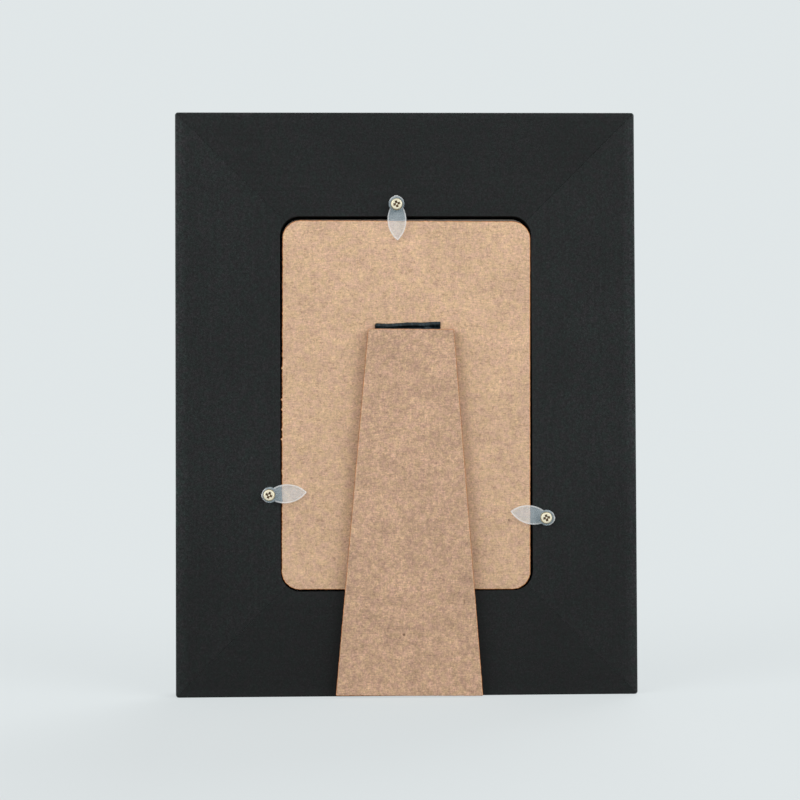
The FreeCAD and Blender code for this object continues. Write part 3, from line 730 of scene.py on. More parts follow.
# %% [markdown]
# A plate with a sawn outline.
# The board and the leg are both flat plates. Each starts as a plane of its outline. Its corners
# are rounded by a bevel of the points, its outline is divided every 0.7 mm, and those points are
# moved in and out by a few hundredths of a millimetre, because a saw leaves fibreboard slightly
# furry. Then the plane is extruded to its thickness and the edges are broken by a small bevel.

# %% Plate
FIBREBOARD = 3.0
OUTLINE_STEP = 0.7


def add_plate(name, width, low, high, back, across=0.0):
    """A flat sheet that faces backwards, given by its middle, its width and its two levels."""
    deselect()
    bpy.ops.mesh.primitive_plane_add(
        size=1, location=(across, back, (low + high) / 2), rotation=(math.radians(-90), 0, 0)
    )
    bpy.context.object.scale = (width, high - low, 1)
    return settled(name)


def round_points(piece, radius, steps):
    choose_all("VERT")
    bpy.ops.mesh.bevel(offset=radius, segments=steps, affect="VERTICES", clamp_overlap=False)


def divide_outline(piece):
    """In edit mode, divide every long outline edge into parts of about one length."""
    while True:
        mesh = bmesh.from_edit_mesh(piece.data)
        longest = max(edge.calc_length() for edge in mesh.edges if edge.is_boundary)
        if longest < 1.5 * OUTLINE_STEP:
            break
        choose(piece, "EDGE", lambda edge: edge.is_boundary and near(edge.calc_length(), longest))
        bpy.ops.mesh.subdivide(number_cuts=min(100, round(longest / OUTLINE_STEP) - 1))
    choose_all()
    bpy.ops.mesh.dissolve_faces()


def roughen_outline(piece, reach, seed, tufts=()):
    """Move the outline's points in and out a little, and pull out a tuft at some of them."""
    draw = random.Random(seed)
    mesh = bmesh.from_edit_mesh(piece.data)
    face = max(mesh.faces, key=lambda one: one.calc_area())
    points = [loop.vert for loop in face.loops]
    middle = face.calc_center_bounds()
    old = [point.co.copy() for point in points]
    for index, point in enumerate(points):
        along = old[(index + 1) % len(old)] - old[index - 1]
        outwards = Vector((along.z, 0, -along.x)).normalized()
        if outwards.dot(old[index] - middle) < 0:
            outwards = -outwards
        point.co = old[index] + outwards * draw.gauss(0, 1) * reach(old[index])
    for across, up, length in tufts:
        tip = min(points, key=lambda one: (one.co.x - across) ** 2 + (one.co.z - up) ** 2)
        tip.co.x += length * (1 if across > 0 else -1)
    bmesh.update_edit_mesh(piece.data)


def thicken(piece):
    """In edit mode, extrude the flat sheet forwards into a plate."""
    choose_all()
    extrude((0, -FIBREBOARD, 0))
    choose_all()
    bpy.ops.mesh.normals_make_consistent(inside=False)


def is_rim(edge):
    """Whether an edge lies between a plate's face and its side."""
    return lies_at(edge, edge.verts[0].co.y) and is_sharp(edge)


print("plate helpers are ready")

# %% [markdown]
# The backing board.
# It is the widest plain surface, so its outline matters: rounded corners that follow the routed
# pocket, and the furry left edge with a few tufts that stick out. The strap's slot is a block
# subtracted from the plate. The board lies a little askew in its pocket, so it is turned last.

# %% Backing board
BOARD_WIDTH = 102.8
BOARD_LOW, BOARD_HIGH = 43.8, 196.3
BOARD_BACK = 7.4
BOARD_CORNER = 7.5
BOARD_RIM = 0.45
BOARD_MIDDLE = (0, 0, 120.05)
BOARD_TURN = 0.3
BOARD_FUZZ, LEFT_FUZZ = 0.035, 0.06
LEFT_TUFTS = (
    (51.4, 122.4, 0.60), (51.4, 118.3, 0.40), (51.4, 109.6, 0.45), (51.4, 105.5, 0.70),
    (51.4, 135.2, 0.40), (51.4, 92.8, 0.30), (51.4, 147.9, 0.25),
)
SLOT_CORNERS = (-14.1, 3.4, 151.5), (13.1, 8.4, 154.45)
SLOT_DROP = 1.05


def turn_with_board(piece):
    """Turn a finished mesh by as much as the board lies askew, about the board's middle."""
    swing = Matrix.Rotation(math.radians(-BOARD_TURN), 4, "Y")
    middle = Matrix.Translation(BOARD_MIDDLE)
    piece.data.transform(middle @ swing @ middle.inverted())


board = add_plate("fibreboard_back", BOARD_WIDTH, BOARD_LOW, BOARD_HIGH, BOARD_BACK)
with editing(board):
    round_points(board, BOARD_CORNER, 10)
    divide_outline(board)
    roughen_outline(board, lambda place: LEFT_FUZZ if place.x > 49 else BOARD_FUZZ, 7, LEFT_TUFTS)
    thicken(board)
    bevel(board, is_rim, BOARD_RIM, 4)
slot_block = add_block("slot_block", *SLOT_CORNERS)
with editing(slot_block):
    choose(slot_block, "VERT", lambda point: point.co.x > 0 and point.co.z > 153)
    bpy.ops.transform.translate(value=(0, 0, -SLOT_DROP))
cut(board, slot_block)
turn_with_board(board)
shade(board)
to_metres(board)
dress(board, [board_finish], "backing_board", "frame")

# %% [markdown]
# The easel leg.
# A tapered plate, wider at the foot. It starts as a plane as wide as the top, its two lower
# points are spread to the foot's width, and the whole hangs half a degree askew, as it does on
# the real frame.

# %% Easel leg
LEG_WIDTH, FOOT_WIDTH = 35.4, 60.4
LEG_FOOT, LEG_TOP = 0.75, 151.2
LEG_BACK = 11.4
LEG_MIDDLE = -1.9
LEG_SKEW = 0.47
LEG_CORNER = 0.5
LEG_RIM = 0.30

leg = add_plate("fibreboard_leg", LEG_WIDTH, LEG_FOOT, LEG_TOP, LEG_BACK, LEG_MIDDLE)
with editing(leg):
    choose(leg, "VERT", lambda point: near(point.co.z, LEG_FOOT))
    stretch((FOOT_WIDTH / LEG_WIDTH, 1, 1), (LEG_MIDDLE, LEG_BACK, LEG_FOOT))
    turn_all(LEG_SKEW, (LEG_MIDDLE, LEG_BACK, LEG_TOP))
    round_points(leg, LEG_CORNER, 3)
    divide_outline(leg)
    roughen_outline(leg, lambda place: 0.03, 11)
    thicken(leg)
    bevel(leg, is_rim, LEG_RIM, 4)
shade(leg)
to_metres(leg)
dress(leg, [leg_finish], "easel_leg", "leg")

# %% [markdown]
# Leatherette for the hinge strap, and woven ribbon for the stay.
# Both are flexible, so their patterns follow the surface through a UV map and bend with it.
# Leatherette is vinyl with an embossed pebble grain: Voronoi cells give the pebbles, and the
# creases between them are deeper, and darker as painted shade. The ribbon is a plain ribbed weave.

# %% Leatherette and ribbon
STRAP_LENGTH = 60.8
RIBBON_LENGTH = 57.4


def uv_place(tree, length):
    """A piece's UV map, brought back to metres along the surface."""
    sockets = {0: add_node(tree, "ShaderNodeUVMap", {})[0], 3: length / 1000}
    return add_node(tree, "ShaderNodeVectorMath", sockets, operation="SCALE")[0]


def ribs(tree, place, size, direction):
    sockets = {"Vector": scaled(tree, place, size), "Scale": 1.0}
    return add_node(tree, "ShaderNodeTexWave", sockets, bands_direction=direction)[1]


def make_leatherette():
    finish, tree, shader = new_material("pebbled_leatherette")
    place = uv_place(tree, STRAP_LENGTH)
    cells = {"Vector": scaled(tree, place, 0.0008), "Scale": 1.0}
    crease_and_shade = rise(tree, add_node(tree, "ShaderNodeTexVoronoi", cells)[0], 0.2, 0.7)
    cloud = noise(tree, place, 0.004, 3, shift=4.0)
    # Darker in the creases: painted shade.
    colour = mix(tree, crease_and_shade, (0.019, 0.036, 0.045), (0.006, 0.012, 0.015))
    colour = vary(tree, colour, (cloud, 0.4))
    cover(tree, shader, colour, spread(tree, cloud, 0.26, 0.44), {"Specular IOR Level": 0.36})
    bump(tree, shader, 0.00008, 0.8, (crease_and_shade, -1.0), (cloud, 0.6))
    return finish


def make_ribbon():
    finish, tree, shader = new_material("woven_ribbon")
    place = uv_place(tree, RIBBON_LENGTH)
    along = ribs(tree, place, 0.002, "Y")
    across = ribs(tree, place, 0.0012, "X")
    fuzz = noise(tree, place, 0.0005, 2)
    colour = mix(tree, along, (0.008, 0.008, 0.009), (0.022, 0.022, 0.024))
    colour = vary(tree, colour, (fuzz, 0.3))
    cover(tree, shader, colour, spread(tree, fuzz, 0.7, 0.9), {"Sheen Weight": 0.25})
    bump(tree, shader, 0.00008, 0.8, (along, 1.0), (across, 0.5))
    return finish


leatherette = make_leatherette()
ribbon_finish = make_ribbon()
print("soft finishes:", leatherette.name, "and", ribbon_finish.name)

# %% [markdown]
# Bending a strip.
# A strap that runs in straight stretches and round bends is made as it would be bent by hand: it
# starts as one short plane, and its last edge is extruded along each straight stretch and spun
# round each bend. Its UV map is laid while it is still a single sheet, from each point's place
# along the strip, and only then is it given its thickness.

# %% Strip
def add_strip(name, low, high, start, first, moves):
    """A strip from left to right between low and high, led along moves backwards and upwards.

    It starts as a plane from the start to the first place. A move is ("run", back, up, steps) to
    a new place, or ("turn", back, up, degrees, steps) about a centre, where positive degrees turn
    from up to back.
    """
    deselect()
    bpy.ops.mesh.primitive_plane_add(size=1, location=((low + high) / 2, 0, 0))
    strip = bpy.context.object
    strip.name = name
    for point in strip.data.vertices:
        across, place = high if point.co.x > 0 else low, first if point.co.y > 0 else start
        point.co = (across, *place)
    strip.location = (0, 0, 0)
    back, up = first
    with editing(strip):
        for kind, one, other, *steps in moves:
            choose(strip, "EDGE", lambda edge: lies_at(edge, back) and lies_at(edge, up, 2))
            if kind == "run":
                shift = (0, (one - back) / steps[0], (other - up) / steps[0])
                for _ in range(steps[0]):
                    extrude(shift)
                back, up = one, other
                continue
            turn = math.radians(steps[0])
            bpy.ops.mesh.spin(steps=steps[1], angle=turn, center=(0, one, other), axis=(1, 0, 0))
            arm_back, arm_up = back - one, up - other
            back = one + arm_back * math.cos(turn) + arm_up * math.sin(turn)
            up = other - arm_back * math.sin(turn) + arm_up * math.cos(turn)
        choose_all()
        bpy.ops.mesh.remove_doubles(threshold=MERGE)
    return strip


def slice_across(strip, low, high, step):
    """Cut a strip from left to right every step, so that its edges can wave."""
    count = round((high - low) / step)
    for index in range(1, count):
        place = (low + (high - low) * index / count, 0, 0)
        with editing(strip):
            choose_all()
            bpy.ops.mesh.bisect(plane_co=place, plane_no=(1, 0, 0), threshold=MERGE)


def lay_uv(strip, length, place_along):
    """Give each corner its place across and along the strip, in units of the strip's length."""
    layer = strip.data.uv_layers.active or strip.data.uv_layers.new(name="UVMap")
    for loop in strip.data.loops:
        point = strip.data.vertices[loop.vertex_index].co
        layer.data[loop.index].uv = (point.x / length, place_along(point) / length)


def finish_strip(strip, depth, finish, node):
    modify(strip, "SOLIDIFY", thickness=depth, offset=0.0, use_even_offset=True)
    shade(strip, 60)
    to_metres(strip)
    dress(strip, [finish], node)


print("strip helpers are ready")

# %% [markdown]
# The hinge strap.
# Its tail is glued inside the board. It comes out under the slot's upper edge, turns over and
# runs down between the board and the leg, where it is glued to the leg's face. Only the short
# turn shows, and vinyl that is bent so tightly is never quite even: the crest waves a little,
# so its points are moved by a slow wave and a little chance.

# %% Hinge strap
STRAP_LOW, STRAP_HIGH = -13.75, 12.75
STRAP_STEP = 0.7
STRAP_THICKNESS = 0.7
BEND = 0.55
STRAP_MOVES = (
    ("run", 4.05, 154.4, 12), ("turn", 4.6, 154.4, -90, 8), ("run", 7.5, 153.85, 8),
    ("turn", 7.5, 153.3, 90, 10), ("run", 8.05, 151.0, 12), ("run", 8.05, 121.2, 16),
)
CREST = (
    (-13.8, 0.27), (-10.0, 0.22), (-7.0, -0.25), (-4.6, 0.0), (-0.4, -0.08), (4.5, -0.42),
    (7.9, -0.75), (9.9, -0.5), (12.8, -0.5),
)
CREST_FOOT = 151.4
PUCKERS, PUCKER_WIDTH = (9.8, -8.4), 1.4
FIRST_BEND, CROSSING, SECOND_BEND, RUN_DOWN = 23.9, 24.76, 27.66, 28.52


def strap_along(point):
    """Distance along the strap's middle from its tail: down, a bend, back, a bend and down."""
    if point.z > 154.4 and point.y < 4.6:
        return 178.3 - point.z
    if point.y < 4.6:
        turn = math.atan2(4.6 - point.y, 154.4 - point.z)
        return FIRST_BEND + BEND * (math.pi / 2 - turn)
    if point.y < 7.5:
        return CROSSING + point.y - 4.6
    if point.z > 153.3:
        return SECOND_BEND + BEND * math.atan2(point.y - 7.5, point.z - 153.3)
    return RUN_DOWN + 153.3 - point.z


def crest_lift(across):
    """How far the crest stands off its even height, between the points of a table."""
    for (left, first), (right, second) in zip(CREST, CREST[1:]):
        if across <= right:
            return first + (second - first) * max(0.0, across - left) / (right - left)
    return CREST[-1][1]


strap = add_strip("leatherette_strap", STRAP_LOW, STRAP_HIGH, (4.05, 178.3), (4.05, 170.0), STRAP_MOVES)
slice_across(strap, STRAP_LOW, STRAP_HIGH, STRAP_STEP)
lay_uv(strap, STRAP_LENGTH, strap_along)
draw = random.Random(5)
waves = [draw.gauss(0, 1) for _ in range(200)]
for point in strap.data.vertices:
    if point.co.y < 4.4 or point.co.z < CREST_FOOT:
        continue
    across, up = point.co.x, point.co.z
    column = int(round((across - STRAP_LOW) / STRAP_STEP))
    weight = min(1.0, max(0.0, (up - 151.9) / 1.2)) * min(1.0, (point.co.y - 4.4) / 1.5)
    point.co.z += (crest_lift(across) + 0.03 * waves[column]) * weight
    pucker = max(math.exp(-((across - middle) / PUCKER_WIDTH) ** 2) for middle in PUCKERS)
    depth = 1.5 - 1.1 * pucker + 0.05 * waves[column + 60]
    groove = depth * math.sin(math.pi * min(1.0, (up - CREST_FOOT) / 1.7) ** 0.7)
    if point.co.y > 7.9 and up < 153.1:
        point.co.y -= groove
turn_with_board(strap)
finish_strip(strap, STRAP_THICKNESS, leatherette, "hinge_strap")
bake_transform(strap)

# %% [markdown]
# The stay ribbon.
# It limits how far the leg opens: one end is glued to the board, the other to the leg. Folded it
# hides between them, and open it is a band. A loose fold can't become a band by turning alone,
# so the crossing between the two glued ends is made very short and finely divided.

# %% Stay ribbon
RIBBON_LOW, RIBBON_HIGH = -5.9, 2.1
GLUE_TOP, GLUE_LOW = 79.2, 71.2
RIBBON_BEND = GLUE_LOW + 0.2
RIBBON_MOVES = (
    ("run", 7.525, RIBBON_BEND, 4), ("turn", 7.725, RIBBON_BEND, -90, 4), ("run", 8.075, GLUE_LOW, 44),
    ("turn", 8.075, RIBBON_BEND, -90, 4), ("run", 8.275, GLUE_TOP, 5),
)
FREE_FROM, FREE_TO = 7.7, 8.1
OPENED = 41.4


def ribbon_along(point):
    """Distance along the opened ribbon."""
    glued = GLUE_TOP - GLUE_LOW
    if point.y < FREE_FROM:
        return GLUE_TOP - point.z
    if point.y > FREE_TO:
        return glued + OPENED + point.z - GLUE_LOW
    share = (point.y - FREE_FROM) / (FREE_TO - FREE_FROM)
    return glued + OPENED * share * share * (3 - 2 * share)


ribbon = add_strip("stay_band", RIBBON_LOW, RIBBON_HIGH, (7.525, GLUE_TOP), (7.525, 75.0), RIBBON_MOVES)
slice_across(ribbon, RIBBON_LOW, RIBBON_HIGH, 1.0)
lay_uv(ribbon, RIBBON_LENGTH, ribbon_along)
finish_strip(ribbon, 0.25, ribbon_finish, "stay_ribbon")
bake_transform(ribbon)

# %% [markdown]
# Clear plastic for the turn buttons.
# They are moulded from a slightly cloudy clear plastic. Over the black rail they look blue grey,
# over the board they look like milk glass, and their raised rims shine, because light inside
# the plastic comes out at its edges. So the body is partly see-through with a pale blue colour
# of its own and a faint painted glow, and the rims get a paler, denser finish: a painted highlight.

# %% Clear plastic
def make_plastic(name, tone, see, glow, low_rough, high_rough):
    finish, tree, shader = new_material(name)
    place = object_place(tree)
    cloud = noise(tree, place, 0.004, 2)
    swirl = noise(tree, place, 0.0012, 2, shift=4.0)
    colour = vary(tree, tone, (cloud, 0.1), (swirl, 0.08))
    # The emission is a painted glow; the plastic holds no lamp.
    constants = {
        "Alpha": see, "IOR": 1.49, "Coat Weight": 0.3,
        "Emission Color": (0.15, 0.68, 1.0), "Emission Strength": glow,
    }
    cover(tree, shader, colour, spread(tree, swirl, low_rough, high_rough), constants)
    bump(tree, shader, 0.00003, 0.3, (cloud, 1.0), (swirl, 0.4))
    return finish


# The body glows faintly: painted light.
plastic = make_plastic("plastic_body", (0.895, 0.96, 0.99), 0.18, 0.125, 0.16, 0.30)
# The paler, denser rim finish is a painted highlight.
plastic_rim_highlight = make_plastic("plastic_rim_highlight", (0.98, 0.99, 0.99), 0.44, 0.0, 0.10, 0.20)
print("plastics:", plastic.name, "and", plastic_rim_highlight.name)

# %% [markdown]
# One turn button, modelled lying at the frame's origin.
# The leaf is where two discs overlap, which is a Boolean intersection of two rods. Its points
# are rounded by a bevel of the edges there, and a smaller leaf of the same kind is subtracted
# from behind, which leaves a sunk web inside a raised rim. The round eye is a rod with a rounded
# edge, joined to the leaf, and the small nub on the far side is where the plastic was cut from
# its moulding gate. A bore for the screw is subtracted last.

# %% Leaf and its rim
LEAF_RADIUS = 11.322
LEAF_HALF = 3.9
LEAF_MIDDLE = -6.75
LEAF_TOP = 1.2
LEAF_POINT = 0.2
LEAF_EDGE = 0.08
WEB_TOP = 1.0
RIM_WIDTH = 0.55


def add_leaf(name, inset, low, high):
    """A pointed oval between two levels, drawn in from the leaf's outline by an inset."""
    offset = LEAF_RADIUS - LEAF_HALF
    radius = LEAF_RADIUS - inset
    piece = add_rod(name, radius, low, high, offset, LEAF_MIDDLE, 128)
    other = add_rod("other_disc", radius, low - OVERRUN, high + OVERRUN, -offset, LEAF_MIDDLE, 128)
    combine(piece, other, "INTERSECT")
    return piece


def is_upper(edge, level):
    """Whether an edge lies round the upper face at a level."""
    return lies_at(edge, level) and is_sharp(edge)


leaf = add_leaf("turn_button", 0.0, 0.0, LEAF_TOP)
tip = max(point.co.z for point in leaf.data.vertices) - LEAF_MIDDLE


def is_at_tip(edge):
    return runs_back(edge) and near(abs(edge.verts[0].co.z - LEAF_MIDDLE), tip)


with editing(leaf):
    bevel(leaf, is_at_tip, LEAF_POINT, 3)
    bevel(leaf, lambda edge: is_upper(edge, LEAF_TOP), LEAF_EDGE, 2)
cut(leaf, add_leaf("web", RIM_WIDTH, WEB_TOP, LEAF_TOP + OVERRUN))
print("leaf has", len(leaf.data.polygons), "faces")

# %% Eye, gate nub and bore
EYE_RADIUS = 3.25
EYE_TOP = 1.7
EYE_BEVEL = 0.4
NUB_CORNERS = (-0.8, 0.0, 2.6), (0.8, 1.3, 3.4)
NUB_BEVEL = 0.12
BORE_RADIUS = 1.85
BORE_BEVEL = 0.12


def is_nub_edge(edge):
    """Whether an edge of the nub lies above and outside the eye."""
    middle = (edge.verts[0].co + edge.verts[1].co) / 2
    return middle.y > 0.3 and middle.z > 2.7


eye = add_rod("eye", EYE_RADIUS, 0, EYE_TOP, points=64)
with editing(eye):
    bevel(eye, lambda edge: is_upper(edge, EYE_TOP), EYE_BEVEL, 4)
nub = add_block("nub", *NUB_CORNERS)
with editing(nub):
    bevel(nub, is_nub_edge, NUB_BEVEL, 2)
combine(leaf, eye, "UNION")
combine(leaf, nub, "UNION")
cut(leaf, add_rod("bore", BORE_RADIUS, -OVERRUN, EYE_TOP + OVERRUN))
with editing(leaf):
    bevel(leaf, lambda edge: is_upper(edge, EYE_TOP), BORE_BEVEL, 2)
shade(leaf)
print("turn button has", len(leaf.data.polygons), "faces")

# %% [markdown]
# The three buttons.
# Each is a copy of the one above, turned as it was found and shifted a little on its screw,
# because the bore is looser than the screw. Faces on the leaf's rim, the nub and the far side of
# the eye's rounded edge get the paler, denser finish, which is a painted highlight.

# %% Turn buttons
BUTTON_TURNS = {"top": (1.4, 0.45), "left": (94.0, -0.15), "right": (-100.2, 0.4)}
BUTTON_FRONT = 7.55


def takes_painted_highlight(face):
    """Whether a face belongs to the leaf's rim, to the nub or to the eye's far edge: the painted
    highlight.
    """
    middle = face.center
    reach = math.hypot(middle.x, middle.z)
    on_rim = reach > 3.3 and middle.y > 1.01
    on_eye = reach > 2.86 and middle.y > 1.28 and middle.z > 1.4
    return on_rim or on_eye or middle.z > 3.2


def place_copy(piece, name, side, back, degrees, slack=0.0):
    """A copy in metres, on one side's screw, turned and shifted a little along its own length."""
    twin = copy_of(piece, name)
    swing = Matrix.Rotation(math.radians(degrees), 4, "Y")
    across, up = SCREWS[side]
    place = Vector((across, back, up)) + swing @ Vector((0, 0, slack))
    twin.data.transform(Matrix.Translation(place) @ swing)
    to_metres(twin)
    return twin


# Faces that get the painted highlight take the second finish.
mark_faces(leaf, takes_painted_highlight)
for side, (turn, slack) in BUTTON_TURNS.items():
    button = place_copy(leaf, f"clear_turn_button_{side}", side, BUTTON_FRONT, turn, slack)
    dress(button, [plastic, plastic_rim_highlight], f"turn_button_{side}", f"button_{side}")
bpy.data.objects.remove(leaf)

# %% [markdown]
# Screw metal.
# The screws are zinc plated and yellow passivated: a satin metal, pale and warm on the flat of
# the head, and olive as painted shade where the head rounds down. The recess is darker brown,
# also painted shade.

# %% Screw metal
def make_screw_metal():
    finish, tree, shader = new_material("screw_metal")
    place = object_place(tree)
    cloud = noise(tree, place, 0.0012, 3)
    fine = noise(tree, place, 0.0003, 2, shift=3.0)
    hue = rise(tree, cloud, 0.35, 0.65)
    pale = mix(tree, hue, (0.84, 0.76, 0.56), (0.79, 0.74, 0.58))
    # Olive where the head rounds down: painted shade, by the way the surface faces.
    shaded_olive = mix(tree, hue, (0.34, 0.29, 0.17), (0.30, 0.28, 0.20))
    colour = mix(tree, fall(tree, flatness(tree), 0.60, 0.98), pale, shaded_olive)
    colour = vary(tree, colour, (fine, 0.12))
    cover(tree, shader, colour, spread(tree, fine, 0.42, 0.58), {"Metallic": 0.6})
    bump(tree, shader, 0.00003, 0.6, (cloud, 1.0), (fine, 0.6))
    return finish


def make_metal(name, grain, tones, gloss, share):
    """A metal whose colour and roughness follow one grain."""
    finish, tree, shader = new_material(name)
    pattern = noise(tree, object_place(tree), *grain)
    colour = mix(tree, rise(tree, pattern), *tones)
    cover(tree, shader, colour, spread(tree, pattern, *gloss), {"Metallic": share})
    return finish


screw_metal = make_screw_metal()
# Dark brown tones for the recess: painted shade.
recess_shade_tones = (0.11, 0.062, 0.03), (0.26, 0.165, 0.09)
recess_metal = make_metal("screw_recess", (0.0007, 3), recess_shade_tones, (0.5, 0.7), 0.6)
print("screw finishes:", screw_metal.name, "and", recess_metal.name)

# %% [markdown]
# One screw.
# The head is a rod with a well rounded upper edge. Its cross recess is cut by two tapered
# wedges, and a small round pip is left in the middle, which catches the light among four dark
# lobes; the lobes' darkness is painted shade, in the recess's darker finish.
# The shank is a rod drawn to a point, and its thread is a small triangle swept down a helix by
# the Screw modifier.

# %% Screw head and shank
HEAD_RADIUS = 2.45
HEAD_HIGH = 1.6
HEAD_BEVEL = 0.7
RECESS_FLOOR = 1.0
RECESS_REACH, RECESS_HALF = 1.5, 0.5
RECESS_TAPER = (0.6, 1, 0.9)
PIP_RADIUS, PIP_TOP = 0.4, 1.3
SHANK_END = -11.0
SHANK_POINT = 0.12

screw = add_rod("screw", HEAD_RADIUS, 0.0, HEAD_HIGH)
with editing(screw):
    bevel(screw, lambda edge: lies_at(edge, HEAD_HIGH), HEAD_BEVEL, 6)
for crossways in (False, True):
    wedge = add_block(
        "wedge", (-RECESS_REACH, RECESS_FLOOR, -RECESS_HALF),
        (RECESS_REACH, HEAD_HIGH + 0.1, RECESS_HALF),
    )
    with editing(wedge):
        choose(wedge, "FACE", lambda face: face.normal.y < -0.9)
        stretch(RECESS_TAPER, (0, RECESS_FLOOR, 0))
        if crossways:
            turn_all(90, (0, 0, 0))
    cut(screw, wedge)
combine(screw, add_rod("pip", PIP_RADIUS, 0.8, PIP_TOP, points=16), "UNION")
shank = add_rod("shank", CORE_RADIUS, SHANK_END, 0.2, points=24)
with editing(shank):
    choose(shank, "EDGE", runs_back)
    bpy.ops.mesh.subdivide(number_cuts=4)
    choose(shank, "VERT", lambda point: point.co.y < SHANK_END + 0.1)
    stretch((SHANK_POINT, 1, SHANK_POINT), (0, SHANK_END, 0))
combine(screw, shank, "UNION")
print("screw has", len(screw.data.polygons), "faces")

# %% Thread
THREAD_SECTION = ((0.8, -9.0, 0), (1.15, -8.66, 0), (0.8, -8.32, 0))
PITCH = 0.8

deselect()
bpy.ops.mesh.primitive_circle_add(vertices=3, radius=1, location=(0, 0, 0))
thread = bpy.context.object
for point, place in zip(thread.data.vertices, THREAD_SECTION):
    point.co = place
modify(
    thread, "SCREW", axis="Y", screw_offset=PITCH, iterations=7, steps=16, render_steps=16,
    use_smooth_shade=False,
)
with editing(thread):
    choose(thread, "EDGE", lambda edge: edge.is_boundary)
    bpy.ops.mesh.fill_holes(sides=3)
    choose_all()
    bpy.ops.mesh.normals_make_consistent(inside=False)
levels = [point.co.y for point in thread.data.vertices]
print("thread runs from", round(min(levels), 2), "to", round(max(levels), 2))
alone(screw)
thread.select_set(True)
bpy.ops.object.join()
shade(screw, 35)

# %% Screws
SCREW_TURNS = {"top": 15.0, "left": -22.0, "right": 12.0}
HEAD_FRONT = 9.3


# Recess faces, except the pip's top, get the darker brown: painted shade.
def in_recess(face):
    middle = face.center
    reach = math.hypot(middle.x, middle.z)
    on_pip = near(middle.y, PIP_TOP) and reach < 0.3
    return reach < 1.6 and 0.9 < middle.y < 1.59 and not on_pip


mark_faces(screw, in_recess)
for side, turn in SCREW_TURNS.items():
    fixing = place_copy(screw, f"cross_head_screw_{side}", side, HEAD_FRONT, turn)
    dress(fixing, [screw_metal, recess_metal], f"button_screw_{side}", "frame")
bpy.data.objects.remove(screw)

# %% [markdown]
# The CAD nodes that stay.
# The glass, the paper insert, the filler card and the corner nails have the right shape
# already, so they keep their CAD meshes and only get a finish: window glass with a trace of
# dust, off-white paper with a plain thin keyline, grey pulp card, and rolled steel. The glass
# lets light rays pass straight, because otherwise the paper behind it would get none.

# %% Glass and paper
KEYLINE = ((0, 0.0, 0.0405), (2, HALF_HEIGHT / 1000, 0.0658))


def make_glass():
    finish, tree, shader = new_material("window_glass")
    dust = noise(tree, object_place(tree), 0.02, 4, roughness=0.7)
    constants = {"Transmission Weight": 1.0, "IOR": 1.45}
    cover(tree, shader, (0.975, 0.99, 0.98), spread(tree, dust, 0.0, 0.05), constants)
    through = add_node(tree, "ShaderNodeBsdfTransparent", {0: (0.985, 0.995, 0.99)})[0]
    add_to_surface(tree, shader, any_of(tree, ("Is Shadow Ray", "Is Diffuse Ray")), through)
    return finish


def make_paper():
    finish, tree, shader = new_material("off_white_paper")
    place = object_place(tree)
    fibres = noise(tree, place, 0.0009, 4, roughness=0.7)
    cloud = noise(tree, place, 0.03, 2)
    colour = mix(tree, rise(tree, cloud), (0.80, 0.785, 0.745), (0.83, 0.815, 0.78))
    colour = vary(tree, colour, (fibres, 0.04))
    places = along_axes(tree, place)
    gaps = [
        calculate(tree, "SUBTRACT", distance(tree, places, axis, middle), half)
        for axis, middle, half in KEYLINE
    ]
    off_line = calculate(tree, "ABSOLUTE", calculate(tree, "MAXIMUM", *gaps))
    line = fall(tree, off_line, 0.00012, 0.0002)
    colour = mix(tree, line, colour, (0.42, 0.41, 0.40))
    cover(tree, shader, colour, spread(tree, fibres, 0.55, 0.7))
    bump(tree, shader, 0.00003, 0.5, (fibres, 1.0))
    return finish


glass = make_glass()
paper = make_paper()
print("sheets:", glass.name, "and", paper.name)


# %% Card and nail steel
def make_card():
    finish, tree, shader = new_material("pulp_card")
    place = object_place(tree)
    pulp = noise(tree, place, 0.0014, 4, roughness=0.65)
    flecks = noise(tree, place, 0.0005, 1, shift=6.0)
    colour = mix(tree, rise(tree, pulp), (0.30, 0.275, 0.24), (0.38, 0.35, 0.31))
    cover(tree, shader, vary(tree, colour, (flecks, 0.15)), spread(tree, pulp, 0.8, 0.95))
    bump(tree, shader, 0.00008, 0.7, (pulp, 1.0))
    return finish


steel_tones = (0.40, 0.41, 0.43), (0.55, 0.56, 0.58)
steel = make_metal("rolled_steel", (0.0008, 3, (1, 8, 1)), steel_tones, (0.3, 0.5), 1.0)
NODE_FINISHES = {
    "glass_pane": glass, "insert_sheet": paper, "filler_card": make_card(), "corner_nails": steel,
}
for name, node in sorted(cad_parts.items()):
    kind = next((start for start in NODE_FINISHES if name.startswith(start)), None)
    if kind:
        node.data.materials.clear()
        node.data.materials.append(NODE_FINISHES[kind])
        print(name, "is finished in", NODE_FINISHES[kind].name)

# %% [markdown]
# Light, background and floor.
# The photograph has soft, even light and a plain pale background. The world lights the object
# evenly, and what the camera sees of it, directly or in gloss, is the background's own colour.
# Two very soft suns stand behind the frame, far to the left and to the right, so that the leg
# shades the board softly along both its sides, and a third stands before the frame. The floor
# is a wide pale sheet: part of its brightness is its own, so that it meets the background
# without a line, and the rest is lit, so that it keeps the object's shadow.

# %% World
BACKGROUND = (0.749, 0.795, 0.8065)
WORLD_LIGHT = 0.48
SEEN = ("Is Camera Ray", "Is Glossy Ray", "Is Transmission Ray")

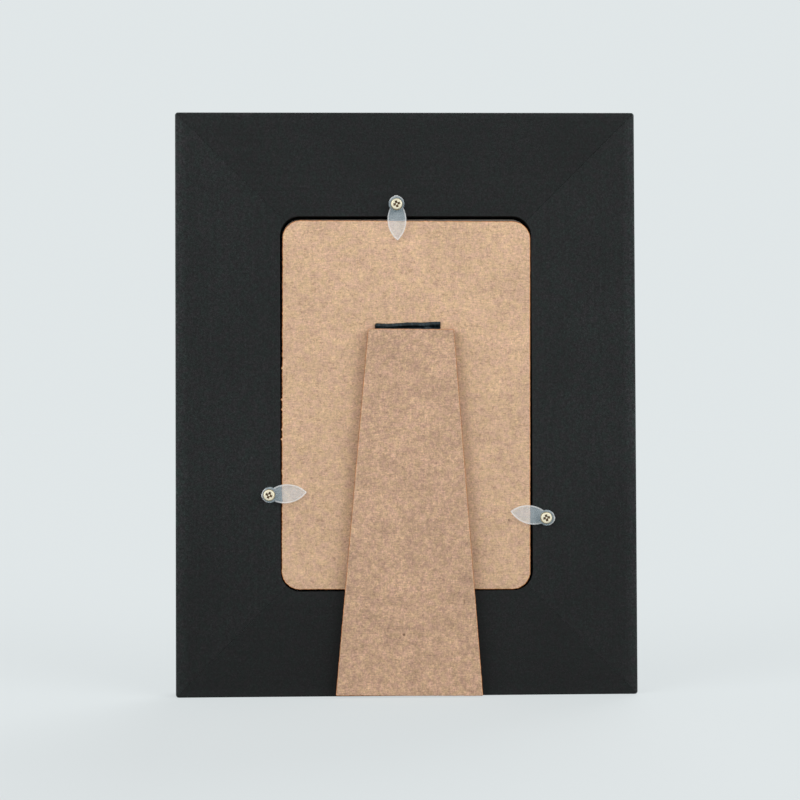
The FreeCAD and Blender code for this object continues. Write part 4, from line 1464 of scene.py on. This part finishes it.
world = bpy.data.worlds.new("studio")
world.use_nodes = True
sky = world.node_tree
sky.nodes.clear()
light = add_node(sky, "ShaderNodeBackground", {"Color": (1, 1, 1), "Strength": WORLD_LIGHT})[0]
plain = add_node(sky, "ShaderNodeBackground", {"Color": BACKGROUND, "Strength": 1.0})[0]
add_node(sky, "ShaderNodeOutputWorld", {0: mix_shaders(sky, any_of(sky, SEEN), light, plain)})
bpy.context.scene.world = world
print("world light", WORLD_LIGHT)

# %% Suns
SUNS = (
    ("sun_on_the_left", (0.85, 0.62, 0.45), 1.55, 45),
    ("sun_on_the_right", (-0.85, 0.62, 0.45), 1.55, 45),
    ("sun_in_front", (-0.35, -0.80, 0.80), 1.60, 40),
)

level_light = WORLD_LIGHT
for name, towards, strength, softness in SUNS:
    sun_data = bpy.data.lights.new(name, "SUN")
    sun_data.energy = strength
    sun_data.angle = math.radians(softness)
    sun = bpy.data.objects.new(name, sun_data)
    aim = Vector(towards).normalized()
    sun.rotation_euler = aim.to_track_quat("Z", "Y").to_euler()
    bpy.context.scene.collection.objects.link(sun)
    level_light += strength * aim.z / math.pi
print("a level surface gets", round(level_light, 3))

# %% Floor
FLOOR_SIZE = 60
OWN_LIGHT = 0.55
FLOOR_SHARE = 0.6

deselect()
bpy.ops.mesh.primitive_plane_add(size=FLOOR_SIZE, location=(0, 0, 0))
floor = bpy.context.object
floor.name = "studio_floor"
floor_finish, tree, shader = new_material("studio_floor")
lit = [share * FLOOR_SHARE / level_light for share in BACKGROUND]
cover(tree, shader, lit, 0.9, {"Specular IOR Level": 0.0})
strength = (1 - (1 - OWN_LIGHT) * FLOOR_SHARE) / OWN_LIGHT
glow = add_node(tree, "ShaderNodeEmission", {"Color": BACKGROUND, "Strength": strength})[0]
add_to_surface(tree, shader, calculate(tree, "MULTIPLY", any_of(tree, SEEN), OWN_LIGHT), glow)
floor.data.materials.append(floor_finish)
print("floor is", floor.dimensions.x, "m wide")

# %% [markdown]
# The picture is shown as it is computed, with the Standard view. The box round the dressed
# object is written beside the CAD's own box, because the looks may not change the size.

# %% Finish
bpy.context.scene.view_settings.view_transform = "Standard"
